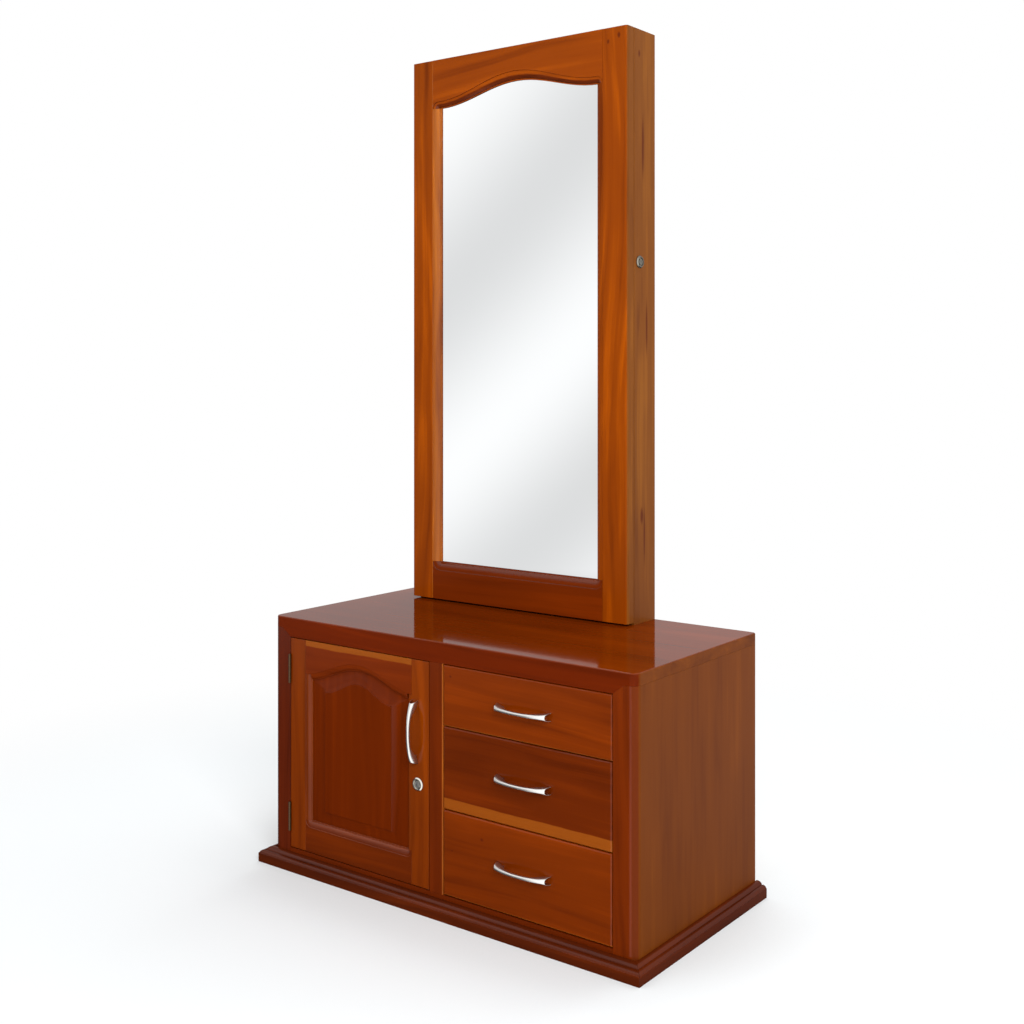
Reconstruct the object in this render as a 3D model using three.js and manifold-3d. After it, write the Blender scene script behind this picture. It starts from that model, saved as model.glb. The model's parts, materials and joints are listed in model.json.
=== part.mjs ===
// Dressing table with a door cupboard, three drawers and a tall mirror cabinet.
// Millimetres, +Z up. The front faces -Y, and the origin is under the middle of the whole piece.

import * as THREE from "three";
import { mergeVertices } from "three/addons/utils/BufferGeometryUtils.js";
import Module from "manifold-3d";

const wasm = await Module();
wasm.setup();

// Fits
const FIT = 0.25; // glue line or seat between two fixed pieces
const RUN = 0.3; // running clearance of pins, plugs and runners
const OVERRUN = 2; // how far a cut runs past the face that it opens

// Lower cabinet
const CABINET_WIDTH = 900;
const CABINET_DEPTH = 450;
const CABINET_HEIGHT = 520;
const SIDE_BOARD = 24;
const TOP_BOARD = 22;
const LIPPING_DEPTH = 22;
const SIDE_LIPPING = 24;
const TOP_LIPPING = 18;
const FRONT_CORNER_RADIUS = 16;
const REAR_CORNER_RADIUS = 8;
const ARRIS = 1.5;
const BOTTOM_BOARD = 18;
const BOTTOM_BOARD_BASE = 20;
const PARTITION_BOARD = 18;
const PARTITION_LIPPING = 33;
const BACK_PANEL = 6;
const FRONT_GAP = 2;
const SHELF_BOARD = 15;
const SHELF_LEVEL = 230;
const SHELF_SETBACK = 70;
const CLEAT = 12;

// Plinth moulding
const PLINTH_REACH = 26;
const PLINTH_SIDE_REACH = 22;
const PLINTH_HEIGHT = 30;
const PLINTH_BAND = 18.5;
const PLINTH_LEDGE = 1.5;
const PLINTH_OVOLO_REACH = 9;
const PLINTH_OVOLO_RISE = 5.5;
const PLINTH_QUIRK_DEPTH = 1.6;
const PLINTH_QUIRK_WIDTH = 1.6;
const PLINTH_TOP_LEDGE = 3;

// Cupboard door
const DOOR_THICKNESS = 22;
const DOOR_STILE_FLAT = 44;
const DOOR_RAIL_BOTTOM_FLAT = 51;
const DOOR_RAIL_TOP_MIDDLE = 32;
const DOOR_ARCH_RISE = 38;
const DOOR_STICKING_WIDTH = 14;
const DOOR_STICKING_DEPTH = 8;
const ARCH_FULLNESS_SHARE = 0.2;
const PANEL_GROOVE_DEPTH = 9;
const PANEL_GROOVE_WIDTH = 6;
const PANEL_LIP = 1;
const FIELD_INSET_SIDE = 41;
const FIELD_INSET_END = 26;
const FIELD_RECESS = 2;
const FIELD_ARCH_RISE = 30;
const FIELD_BEVEL_RISE = 4.8;
const FIELD_BEVEL_WIDTH = 15;
const FIELD_QUIRK = 1.2;
const TENON_THICKNESS = 8;
const DOOR_TENON = 20;
const TENON_SHOULDER = 10;
const DOOR_HANDLE_DROP = 139;
const DOOR_HANDLE_INSET = 34;
const DOOR_LOCK_DROP = 240;
const DOOR_LOCK_INSET = 27;
const DOOR_HINGE_INSET = 34;

// Drawers
const DRAWER_HEIGHTS = [115.5, 157];
const DRAWER_FRONT = 20;
const DRAWER_FRONT_ARRIS = 2;
const DRAWER_LENGTH = 400;
const DRAWER_SIDE = 14;
const DRAWER_BACK = 12;
const DRAWER_SHEET = 5;
const DRAWER_SHEET_SEAT = 5;
const DRAWER_SHEET_LEVEL = 10;
const DRAWER_SIDE_CLEARANCE = 3;
const DRAWER_BOX_RISE = 8;
const DRAWER_BOX_DROP = 12;
const RUNNER_HEIGHT = 12;
const RUNNER_SEAT = 6;
const RUNNER_SEAT_SHARE = 0.55;
const RUNNER_SETBACK = 24;
const HANDLE_RISES = [-2, 4.5, 4.5];

// Bow handle
const HANDLE_LENGTH = 130;
const HANDLE_SCREW_SPACING = 96;
const HANDLE_REACH = 24;
const HANDLE_END_REACH = 11;
const HANDLE_WAIST = 8.5;
const HANDLE_FLARE = 20;
const HANDLE_END_RAKE = 9;
const HANDLE_WALL = 2;
const HANDLE_STRAP_DEPTH = 5;
const HANDLE_POST_RADIUS = 3.6;
const SCREW_RADIUS = 2;
const SCREW_HEAD_RADIUS = 4;
const SCREW_HEAD = 2.4;

// Mirror cabinet
const TOWER_LEFT = 88;
const TOWER_WIDTH = 578;
const TOWER_DEPTH = 108;
const TOWER_HEIGHT = 1220;
const TOWER_BOARD = 18;
const TOWER_SHELF = 12;
const TOWER_SHELF_SETBACK = 4;
const TOWER_SHELF_SHARES = [0.32, 0.66];
const MIRROR_SEAM = 2;

// Mirror door
const MIRROR_DOOR_THICKNESS = 25;
const MIRROR_DOOR_LIFT = 4;
const MIRROR_STILE_FLAT = 60;
const MIRROR_RAIL_BOTTOM_FLAT = 65;
const MIRROR_RAIL_TOP_MIDDLE = 54;
const MIRROR_WAVE_RISE = 35;
const MIRROR_STICKING_WIDTH = 19;
const MIRROR_STICKING_DEPTH = 12;
const WAVE_STICKING_WIDTH = 14;
const WAVE_STICKING_SWELL = 6;
const MIRROR_OUTER_ROUND = 6;
const GLASS_THICKNESS = 4;
const GLASS_COVER = 12;
const MIRROR_BACK_BOARD = 6;
const MIRROR_TENON = 28;
const MIRROR_HINGE_INSET = 150;
const MIRROR_LOCK_LEVEL = 742;
const MIRROR_LOCK_SETBACK = 20;

// Butt hinge
const HINGE_LENGTH = 60;
const HINGE_LEAF_WIDTH = 15;
const HINGE_LEAF = 1.4;
const HINGE_LEAF_GAP = 0.4;
const HINGE_BARREL_RADIUS = 2.6;
const HINGE_PIN_RADIUS = 1.1;
const HINGE_KNUCKLES = 5;

// Cam lock
const LOCK_RING_RADIUS = 13;
const LOCK_RING_HEIGHT = 4;
const LOCK_RING_CHAMFER = 2.2;
const LOCK_MOAT_RADIUS = 9.2;
const LOCK_MOAT_DEPTH = 1.8;
const LOCK_BARREL_RADIUS = 9;
const LOCK_PLUG_RADIUS = 5.5;
const LOCK_PLUG_HEAD_RADIUS = 6.5;
const LOCK_PLUG_HEAD = 1.6;
const LOCK_NUT_RADIUS = 12;
const LOCK_NUT = 2.5;
const LOCK_CAM_WIDTH = 12;
const LOCK_CAM = 2;
const LOCK_KEY_LENGTH = 7;
const LOCK_KEY_WIDTH = 1.4;
const LOCK_KEY_DEPTH = 3;
const DOOR_CAM_REACH = 33;
const MIRROR_CAM_REACH = 19;
const KEEPER_WIRE = 3;
const KEEPER_DROP = 15;
const KEEPER_SPAN = 7;
const KEEPER_PLATE = 2;
const KEEPER_PLATE_HEIGHT = 16;
const KEEPER_PLATE_MARGIN = 2.5;
const MIRROR_LOCK_TAIL = 6;
const KEEPER_BACK_CLEARANCE = 1;
const HEX_SIDES = 6;

// Mouldings of the two doors' frames
const STICKING_QUIRK_SHARE = 0.15;
const STICKING_FILLET_SHARE = 0.1;
const STICKING_FOOT_SHARE = 0.15;

// Steps round the curves
const ROUND_STEPS = 24;
const SMALL_STEPS = 12;
const CORNER_STEPS = 5;
const STICKING_STEPS = 5;
const WAVE_STEPS = 26;
const HANDLE_STEPS = 14;
const HANDLE_ARC_STEPS = 6;

// Finishes
const polishedTeak = { color: 0x8a3a12, roughness: 0.25, metalness: 0 };
const brightTeak = { color: 0xa8561c, roughness: 0.3, metalness: 0 };
const sideTeak = { color: 0x96603c, roughness: 0.4, metalness: 0 };
const topTeak = { color: 0x5e2410, roughness: 0.12, metalness: 0 };
const plinthTeak = { color: 0x4e2114, roughness: 0.35, metalness: 0 };
const drawerBoxWood = { color: 0xb98a5a, roughness: 0.6, metalness: 0 };
const plywood = { color: 0xa97e55, roughness: 0.7, metalness: 0 };
const silveredGlass = { color: 0xdfe4e6, roughness: 0.03, metalness: 1 };
const satinNickel = { color: 0xc4c2bc, roughness: 0.3, metalness: 1 };
const darkNickel = { color: 0x8f8d88, roughness: 0.35, metalness: 1 };

// Solid helpers

function toSolid(geometry) {
  const bare = geometry.clone();
  bare.deleteAttribute("normal");
  bare.deleteAttribute("uv");
  const merged = mergeVertices(bare);
  const vertProperties = new Float32Array(merged.attributes.position.array);
  const triVerts = new Uint32Array(merged.index.array);
  return new wasm.Manifold(new wasm.Mesh({ numProp: 3, vertProperties, triVerts }));
}

function toGeometry(solid) {
  const mesh = solid.getMesh();
  const geometry = new THREE.BufferGeometry();
  geometry.setAttribute("position", new THREE.BufferAttribute(mesh.vertProperties, mesh.numProp));
  geometry.setIndex(new THREE.BufferAttribute(mesh.triVerts, 1));
  geometry.computeVertexNormals();
  return geometry;
}

function join(first, ...others) {
  const solid = others.reduce((sum, other) => sum.add(toSolid(other)), toSolid(first));
  return toGeometry(solid);
}

function cut(first, ...tools) {
  const solid = tools.reduce((rest, tool) => rest.subtract(toSolid(tool)), toSolid(first));
  return toGeometry(solid);
}

function signedVolume(vertices, indices) {
  const [a, b, c] = [new THREE.Vector3(), new THREE.Vector3(), new THREE.Vector3()];
  let volume = 0;
  for (let i = 0; i < indices.length; i += 3) {
    a.fromArray(vertices, indices[i] * 3);
    b.fromArray(vertices, indices[i + 1] * 3);
    c.fromArray(vertices, indices[i + 2] * 3);
    volume += a.dot(b.cross(c));
  }
  return volume;
}

// Closed body through a row of outlines with the same number of points
function loft(outlines, toSpace) {
  const count = outlines[0].length;
  const vertices = [];
  const indices = [];
  outlines.forEach((outline, step) => {
    outline.forEach((point) => vertices.push(...toSpace(point, step).toArray()));
  });
  for (let step = 0; step < outlines.length - 1; step += 1) {
    for (let i = 0; i < count; i += 1) {
      const next = (i + 1) % count;
      const [a, b] = [step * count + i, step * count + next];
      indices.push(a, b, b + count, a, b + count, a + count);
    }
  }
  const last = (outlines.length - 1) * count;
  const startsLeft = THREE.ShapeUtils.isClockWise(outlines[0]) ? -1 : 1;
  THREE.ShapeUtils.triangulateShape(outlines[0], []).forEach(([a, b, c]) => {
    indices.push(...(startsLeft > 0 ? [a, c, b] : [a, b, c]));
  });
  THREE.ShapeUtils.triangulateShape(outlines.at(-1), []).forEach(([a, b, c]) => {
    indices.push(...(startsLeft > 0 ? [last + a, last + b, last + c] : [last + a, last + c, last + b]));
  });
  if (signedVolume(vertices, indices) < 0) indices.reverse();
  const geometry = new THREE.BufferGeometry();
  geometry.setAttribute("position", new THREE.Float32BufferAttribute(vertices, 3));
  geometry.setIndex(indices);
  geometry.computeVertexNormals();
  return geometry;
}

// Mirror image across the middle of a width along X
function flipX(geometry, width) {
  const flipped = geometry.clone().scale(-1, 1, 1).translate(width, 0, 0);
  flipped.setIndex(Array.from(flipped.index.array).reverse());
  flipped.computeVertexNormals();
  return flipped;
}

// Box between two corners
function block(x0, x1, y0, y1, z0, z1) {
  const box = new THREE.BoxGeometry(x1 - x0, y1 - y0, z1 - z0);
  return box.translate((x0 + x1) / 2, (y0 + y1) / 2, (z0 + z1) / 2);
}

// Round bar along Y from y0 to y1
function dowelY(radius, y0, y1, steps = ROUND_STEPS) {
  return new THREE.CylinderGeometry(radius, radius, y1 - y0, steps).translate(0, (y0 + y1) / 2, 0);
}

// Round bar along Z from z0 to z1
function dowelZ(radius, z0, z1, steps = ROUND_STEPS) {
  const bar = new THREE.CylinderGeometry(radius, radius, z1 - z0, steps);
  return bar.rotateX(Math.PI / 2).translate(0, 0, (z0 + z1) / 2);
}

// Upright body with a plan outline, from z0 to z1
function upright(outline, z0, z1) {
  return loft([outline, outline], (point, step) => new THREE.Vector3(point.x, point.y, step ? z1 : z0));
}

// Body with an outline in the front view (x, z), from y0 to y1
function slabY(outline, y0, y1) {
  return loft([outline, outline], (point, step) => new THREE.Vector3(point.x, step ? y1 : y0, point.y));
}

// Points of an ellipse quarter from one end to the other, both ends included
function quarter(centreX, centreY, reachX, reachY, fromTurn, toTurn, steps) {
  return Array.from({ length: steps + 1 }, (_, i) => {
    const turn = THREE.MathUtils.lerp(fromTurn, toTurn, i / steps) * Math.PI / 2;
    return new THREE.Vector2(centreX + reachX * Math.cos(turn), centreY + reachY * Math.sin(turn));
  });
}

// Rectangle with rounded corners, in the order front left, front right, rear right, rear left
function roundedPlan(x0, x1, y0, y1, frontRadius, rearRadius) {
  const [f, r] = [frontRadius, rearRadius];
  return [
    ...quarter(x0 + f, y0 + f, f, f, 2, 3, CORNER_STEPS),
    ...quarter(x1 - f, y0 + f, f, f, 3, 4, CORNER_STEPS),
    ...quarter(x1 - r, y1 - r, r, r, 0, 1, CORNER_STEPS),
    ...quarter(x0 + r, y1 - r, r, r, 1, 2, CORNER_STEPS),
  ];
}

function vectors(pairs) {
  return pairs.map(([x, y]) => new THREE.Vector2(x, y));
}

function piece(name, geometry, finish, parent, x = 0, y = 0, z = 0) {
  const mesh = new THREE.Mesh(geometry, new THREE.MeshStandardMaterial(finish));
  mesh.name = name;
  mesh.position.set(x, y, z);
  parent.add(mesh);
  return mesh;
}

// Places worked out from the driving sizes, in the cabinet's own frame:
// x from its left face, y from its front face, z from the floor
const topUnderside = CABINET_HEIGHT - TOP_BOARD;
const openingTop = topUnderside - TOP_LIPPING;
const openingBottom = BOTTOM_BOARD_BASE + BOTTOM_BOARD;
const sideWidth = SIDE_BOARD + SIDE_LIPPING;
const partitionMiddle = CABINET_WIDTH / 2;
const partitionLeft = partitionMiddle - PARTITION_LIPPING / 2;
const partitionRight = partitionMiddle + PARTITION_LIPPING / 2;
const partitionBoardLeft = partitionMiddle - PARTITION_BOARD / 2;
const partitionBoardRight = partitionMiddle + PARTITION_BOARD / 2;
const backPanelFront = CABINET_DEPTH - BACK_PANEL;
const innerLeft = SIDE_BOARD;
const innerRight = CABINET_WIDTH - SIDE_BOARD;

const doorLeft = sideWidth + FRONT_GAP;
const doorRight = partitionLeft - FRONT_GAP;
const doorWidth = doorRight - doorLeft;
const frontsBottom = openingBottom + FRONT_GAP;
const frontsTop = openingTop - FRONT_GAP;
const frontsHeight = frontsTop - frontsBottom;

const drawerLeft = partitionRight + FRONT_GAP;
const drawerRight = CABINET_WIDTH - sideWidth - FRONT_GAP;
const drawerWidth = drawerRight - drawerLeft;
const lastDrawerHeight = DRAWER_HEIGHTS.reduce((rest, height) => rest - height - FRONT_GAP, frontsHeight);
const drawerHeights = [...DRAWER_HEIGHTS, lastDrawerHeight];
const drawerNames = ["drawer_top", "drawer_middle", "drawer_bottom"];
const drawerBases = drawerHeights.map((_, row) => {
  const stacked = drawerHeights.slice(0, row + 1).reduce((sum, height) => sum + height, 0);
  return frontsTop - stacked - row * FRONT_GAP;
});
const boxLeft = partitionRight + DRAWER_SIDE_CLEARANCE;
const boxRight = CABINET_WIDTH - sideWidth - DRAWER_SIDE_CLEARANCE;
const runnerLevels = drawerHeights.map((height, row) => {
  const boxHeight = height - DRAWER_BOX_RISE - DRAWER_BOX_DROP;
  return drawerBases[row] + DRAWER_BOX_RISE + boxHeight * RUNNER_SEAT_SHARE;
});

const hingeAxisOut = HINGE_BARREL_RADIUS + RUN;
const hingeRecess = HINGE_LEAF + HINGE_LEAF_GAP / 2 - FRONT_GAP / 2 + FIT;
const seamHingeRecess = HINGE_LEAF + HINGE_LEAF_GAP / 2 - MIRROR_SEAM / 2 + FIT;
const doorHandleLevel = frontsHeight - DOOR_HANDLE_DROP;
const doorLockLevel = frontsHeight - DOOR_LOCK_DROP;

function hingeLevels(height, inset) {
  return [["top", height - inset - HINGE_LENGTH], ["bottom", inset]];
}

const doorHingeLevels = hingeLevels(frontsHeight, DOOR_HINGE_INSET);
const mirrorHingeLevels = hingeLevels(TOWER_HEIGHT, MIRROR_HINGE_INSET);

const frontReach = Math.max(PLINTH_REACH, HANDLE_REACH);
const dresser = new THREE.Group();
const cabinet = new THREE.Group();
cabinet.position.set(-CABINET_WIDTH / 2, (frontReach - CABINET_DEPTH) / 2, 0);
dresser.add(cabinet);

// Pocket for a hinge leaf in an edge that faces +X or -X, from the front face inwards
function hingePocket(faceX, direction, base) {
  const inner = faceX - direction * hingeRecess;
  const outer = faceX + direction * OVERRUN;
  const [x0, x1] = [Math.min(inner, outer), Math.max(inner, outer)];
  return block(x0, x1, -OVERRUN, HINGE_LEAF_WIDTH + FIT, base - FIT, base + HINGE_LENGTH + FIT);
}

// Cabinet top with the lipping under its front edge, mitred to the side lippings
function cabinetTop() {
  const insets = [0, 0, ARRIS];
  const levels = [0, TOP_BOARD - ARRIS, TOP_BOARD];
  const outlines = insets.map((inset) => roundedPlan(
    inset, CABINET_WIDTH - inset, inset, CABINET_DEPTH - inset,
    FRONT_CORNER_RADIUS - inset, REAR_CORNER_RADIUS - inset,
  ));
  const board = loft(outlines, (point, step) => new THREE.Vector3(point.x, point.y, levels[step]));
  const lipping = slabY(vectors([
    [sideWidth + FIT, -TOP_LIPPING],
    [CABINET_WIDTH - sideWidth - FIT, -TOP_LIPPING],
    [innerRight - FIT, 0],
    [innerRight - FIT, OVERRUN],
    [innerLeft + FIT, OVERRUN],
    [innerLeft + FIT, 0],
  ]), 0, LIPPING_DEPTH);
  const straightFront = block(
    FRONT_CORNER_RADIUS, CABINET_WIDTH - FRONT_CORNER_RADIUS, 0, LIPPING_DEPTH, 0, OVERRUN,
  );
  return join(board, straightFront, lipping);
}

// Plan of a side: board, lipping behind the front edge and rounded outer corners
function sidePlan() {
  const [f, r] = [FRONT_CORNER_RADIUS, REAR_CORNER_RADIUS];
  return [
    ...quarter(f, f, f, f, 2, 3, CORNER_STEPS),
    ...vectors([
      [sideWidth, 0],
      [sideWidth, LIPPING_DEPTH],
      [SIDE_BOARD, LIPPING_DEPTH],
      [SIDE_BOARD, CABINET_DEPTH],
    ]),
    ...quarter(r, CABINET_DEPTH - r, r, r, 1, 2, CORNER_STEPS),
  ];
}

function mirrorX(outline, width) {
  return outline.map((point) => new THREE.Vector2(width - point.x, point.y)).reverse();
}

// Wedge that mitres a side lipping under the top's lipping
function mitreWedge() {
  const slope = TOP_LIPPING / SIDE_LIPPING;
  return vectors([
    [SIDE_BOARD, topUnderside],
    [sideWidth, openingTop],
    [sideWidth + OVERRUN, openingTop - OVERRUN * slope],
    [sideWidth + OVERRUN, topUnderside],
  ]);
}

function cabinetSideLeft() {
  const body = upright(sidePlan(), 0, topUnderside - FIT);
  const wedge = slabY(mitreWedge(), -OVERRUN, LIPPING_DEPTH + OVERRUN);
  const pockets = doorHingeLevels.map(([, level]) => hingePocket(sideWidth, 1, frontsBottom + level));
  const cleat = block(
    SIDE_BOARD - OVERRUN, SIDE_BOARD + CLEAT, SHELF_SETBACK, backPanelFront - FIT,
    SHELF_LEVEL - CLEAT - FIT, SHELF_LEVEL - FIT,
  );
  return join(cut(body, wedge, ...pockets), cleat);
}

function cabinetSideRight() {
  const body = upright(mirrorX(sidePlan(), CABINET_WIDTH), 0, topUnderside - FIT);
  const wedge = slabY(mirrorX(mitreWedge(), CABINET_WIDTH), -OVERRUN, LIPPING_DEPTH + OVERRUN);
  const runners = runnerLevels.map((level) => block(
    boxRight - RUNNER_SEAT, innerRight + OVERRUN, RUNNER_SETBACK, backPanelFront - FIT,
    level - RUNNER_HEIGHT / 2 + RUN, level + RUNNER_HEIGHT / 2 - RUN,
  ));
  return join(cut(body, wedge), ...runners);
}

function cabinetBottom() {
  return upright(vectors([
    [sideWidth + FIT, 0],
    [CABINET_WIDTH - sideWidth - FIT, 0],
    [CABINET_WIDTH - sideWidth - FIT, LIPPING_DEPTH + FIT],
    [innerRight - FIT, LIPPING_DEPTH + FIT],
    [innerRight - FIT, CABINET_DEPTH],
    [innerLeft + FIT, CABINET_DEPTH],
    [innerLeft + FIT, LIPPING_DEPTH + FIT],
    [sideWidth + FIT, LIPPING_DEPTH + FIT],
  ]), 0, BOTTOM_BOARD);
}

// Upright board between cupboard and drawers, with its front lipping, runners and shelf cleat
function cabinetPartition() {
  const rear = backPanelFront - FIT;
  const body = upright(vectors([
    [partitionLeft, 0],
    [partitionRight, 0],
    [partitionRight, LIPPING_DEPTH],
    [partitionBoardRight, LIPPING_DEPTH],
    [partitionBoardRight, rear],
    [partitionBoardLeft, rear],
    [partitionBoardLeft, LIPPING_DEPTH],
    [partitionLeft, LIPPING_DEPTH],
  ]), openingBottom + FIT, topUnderside - FIT);
  const notch = block(
    partitionLeft - OVERRUN, partitionRight + OVERRUN, -OVERRUN, LIPPING_DEPTH + FIT,
    openingTop - FIT, topUnderside + OVERRUN,
  );
  const runners = runnerLevels.map((level) => block(
    partitionBoardRight - OVERRUN, boxLeft + RUNNER_SEAT, RUNNER_SETBACK, rear,
    level - RUNNER_HEIGHT / 2 + RUN, level + RUNNER_HEIGHT / 2 - RUN,
  ));
  const cleat = block(
    partitionBoardLeft - CLEAT, partitionBoardLeft + OVERRUN, SHELF_SETBACK, rear,
    SHELF_LEVEL - CLEAT - FIT, SHELF_LEVEL - FIT,
  );
  return join(cut(body, notch), cleat, ...runners);
}

piece("cabinet_top", cabinetTop(), topTeak, cabinet, 0, 0, topUnderside);
piece("cabinet_side_left", cabinetSideLeft(), polishedTeak, cabinet);
piece("cabinet_side_right", cabinetSideRight(), sideTeak, cabinet);
piece("cabinet_bottom", cabinetBottom(), polishedTeak, cabinet, 0, 0, BOTTOM_BOARD_BASE);
piece("cabinet_partition", cabinetPartition(), polishedTeak, cabinet);
piece("cabinet_back", block(
  innerLeft + FIT, innerRight - FIT, backPanelFront, CABINET_DEPTH, openingBottom + FIT, topUnderside - FIT,
), plywood, cabinet);
piece("cabinet_shelf", block(
  innerLeft + FIT, partitionBoardLeft - FIT, SHELF_SETBACK, backPanelFront - FIT,
  SHELF_LEVEL, SHELF_LEVEL + SHELF_BOARD,
), plywood, cabinet);

// Plinth moulding as (out, up) points: flat band, ledge, ovolo, quirk, second ovolo and top ledge
function plinthProfile() {
  const ovoloOut = PLINTH_REACH - PLINTH_LEDGE;
  const ovoloIn = ovoloOut - PLINTH_OVOLO_REACH;
  const ovoloTop = PLINTH_BAND + PLINTH_OVOLO_RISE;
  const quirk = ovoloTop - PLINTH_QUIRK_DEPTH;
  const upperOut = ovoloIn - PLINTH_QUIRK_WIDTH;
  return [
    ...vectors([[FIT, 0], [PLINTH_REACH, 0], [PLINTH_REACH, PLINTH_BAND]]),
    ...quarter(ovoloIn, PLINTH_BAND, PLINTH_OVOLO_REACH, PLINTH_OVOLO_RISE, 0, 1, CORNER_STEPS),
    ...vectors([[ovoloIn, quirk]]),
    ...quarter(PLINTH_TOP_LEDGE, quirk, upperOut - PLINTH_TOP_LEDGE, PLINTH_HEIGHT - quirk, 0, 1, CORNER_STEPS),
    ...vectors([[FIT, PLINTH_HEIGHT]]),
  ];
}

// The side mouldings reach out less than the front one, and all meet in mitres at the front corners
const profile = plinthProfile();
const mitreFit = FIT / 2;
const sideOut = (out) => out * PLINTH_SIDE_REACH / PLINTH_REACH;

function plinthFront() {
  return loft([profile, profile], (point, step) => {
    const x = step ? CABINET_WIDTH + sideOut(point.x) - mitreFit : mitreFit - sideOut(point.x);
    return new THREE.Vector3(x, -point.x, point.y);
  });
}

function plinthLeft() {
  return loft([profile, profile], (point, step) => (
    new THREE.Vector3(-sideOut(point.x), step ? CABINET_DEPTH : mitreFit - point.x, point.y)
  ));
}

piece("plinth_front", plinthFront(), plinthTeak, cabinet);
piece("plinth_left", plinthLeft(), plinthTeak, cabinet);
piece("plinth_right", flipX(plinthLeft(), CABINET_WIDTH), plinthTeak, cabinet);

// Frame moulding from the flat face (0, 0) inwards and back to (width, depth):
// quirk, fillet, ovolo and a small foot
function stickingProfile(width, depth) {
  const quirk = depth * STICKING_QUIRK_SHARE;
  const fillet = width * STICKING_FILLET_SHARE;
  const reach = width - fillet - width * STICKING_FOOT_SHARE;
  return [
    new THREE.Vector2(0, quirk),
    ...quarter(fillet, depth - quirk, reach, depth - quirk - quirk, 3, 4, STICKING_STEPS),
    new THREE.Vector2(width, depth - quirk),
    new THREE.Vector2(width, depth),
  ];
}

// Height of the cupboard door's arch over its springing, at a share from the middle to the end
function archShape(share) {
  const swell = (1 + Math.cos(Math.PI * share)) / 2;
  const bow = 1 - share * share;
  return THREE.MathUtils.lerp(swell, bow, ARCH_FULLNESS_SHARE);
}

function waveShape(share) {
  return (1 + Math.cos(Math.PI * share)) / 2;
}

// Body turned round the Y axis from (radius, y) points that start and end on the axis
function turned(pairs, steps = ROUND_STEPS) {
  const lathe = new THREE.LatheGeometry(vectors(pairs), steps);
  lathe.deleteAttribute("normal");
  lathe.deleteAttribute("uv");
  const body = mergeVertices(lathe);
  const indices = Array.from(body.index.array);
  if (signedVolume(body.attributes.position.array, indices) < 0) indices.reverse();
  body.setIndex(indices);
  return body;
}

// Butt hinge on a pin along Z: the fixed leaf lies at -X, the moving leaf at +X, both reach to +Y
function knuckleSpans(moving) {
  const pitch = HINGE_LENGTH / HINGE_KNUCKLES;
  const rows = Array.from({ length: HINGE_KNUCKLES }, (_, row) => row);
  return rows.filter((row) => (row % 2 === 1) === moving).map((row) => [
    row * pitch + (row ? RUN / 2 : 0),
    (row + 1) * pitch - (row < HINGE_KNUCKLES - 1 ? RUN / 2 : 0),
  ]);
}

function hingeLeaf(moving) {
  const side = moving ? 1 : -1;
  const [near, far] = [side * HINGE_LEAF_GAP / 2, side * (HINGE_LEAF_GAP / 2 + HINGE_LEAF)];
  const [x0, x1] = [Math.min(near, far), Math.max(near, far)];
  const plate = block(x0, x1, hingeAxisOut, hingeAxisOut + HINGE_LEAF_WIDTH, 0, HINGE_LENGTH);
  const spans = knuckleSpans(moving);
  const tabs = spans.map(([z0, z1]) => block(x0, x1, 0, hingeAxisOut + HINGE_LEAF, z0, z1));
  const knuckles = spans.map(([z0, z1]) => dowelZ(HINGE_BARREL_RADIUS, z0, z1, SMALL_STEPS));
  const leaf = join(plate, ...tabs, ...knuckles);
  if (moving) return cut(leaf, dowelZ(HINGE_PIN_RADIUS + RUN, -OVERRUN, HINGE_LENGTH + OVERRUN, SMALL_STEPS));
  return join(leaf, dowelZ(HINGE_PIN_RADIUS, 0, HINGE_LENGTH, SMALL_STEPS));
}

// Cam lock through a board whose face is at y = 0: rosette in front, nut behind, then a tail
function lockEnd(boardThickness, tail) {
  return boardThickness + FIT + LOCK_NUT + tail;
}

function lockBody(boardThickness, tail) {
  const end = lockEnd(boardThickness, tail);
  const chamferFoot = LOCK_RING_CHAMFER - LOCK_RING_HEIGHT;
  const shell = turned([
    [0, -LOCK_RING_HEIGHT],
    [LOCK_RING_RADIUS - LOCK_RING_CHAMFER, -LOCK_RING_HEIGHT],
    [LOCK_RING_RADIUS, chamferFoot],
    [LOCK_RING_RADIUS, -FIT],
    [LOCK_BARREL_RADIUS, -FIT],
    [LOCK_BARREL_RADIUS, end],
    [0, end],
  ]);
  const nutBase = boardThickness + FIT;
  const nut = dowelY(LOCK_NUT_RADIUS, nutBase, nutBase + LOCK_NUT, HEX_SIDES);
  const moat = dowelY(LOCK_MOAT_RADIUS, -LOCK_RING_HEIGHT - OVERRUN, LOCK_MOAT_DEPTH - LOCK_RING_HEIGHT);
  const recess = dowelY(LOCK_PLUG_HEAD_RADIUS + RUN, -LOCK_RING_HEIGHT - OVERRUN, LOCK_PLUG_HEAD - LOCK_RING_HEIGHT + RUN);
  const bore = dowelY(LOCK_PLUG_RADIUS + RUN, -LOCK_RING_HEIGHT - OVERRUN, end + OVERRUN);
  return cut(join(shell, nut), moat, recess, bore);
}

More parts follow.
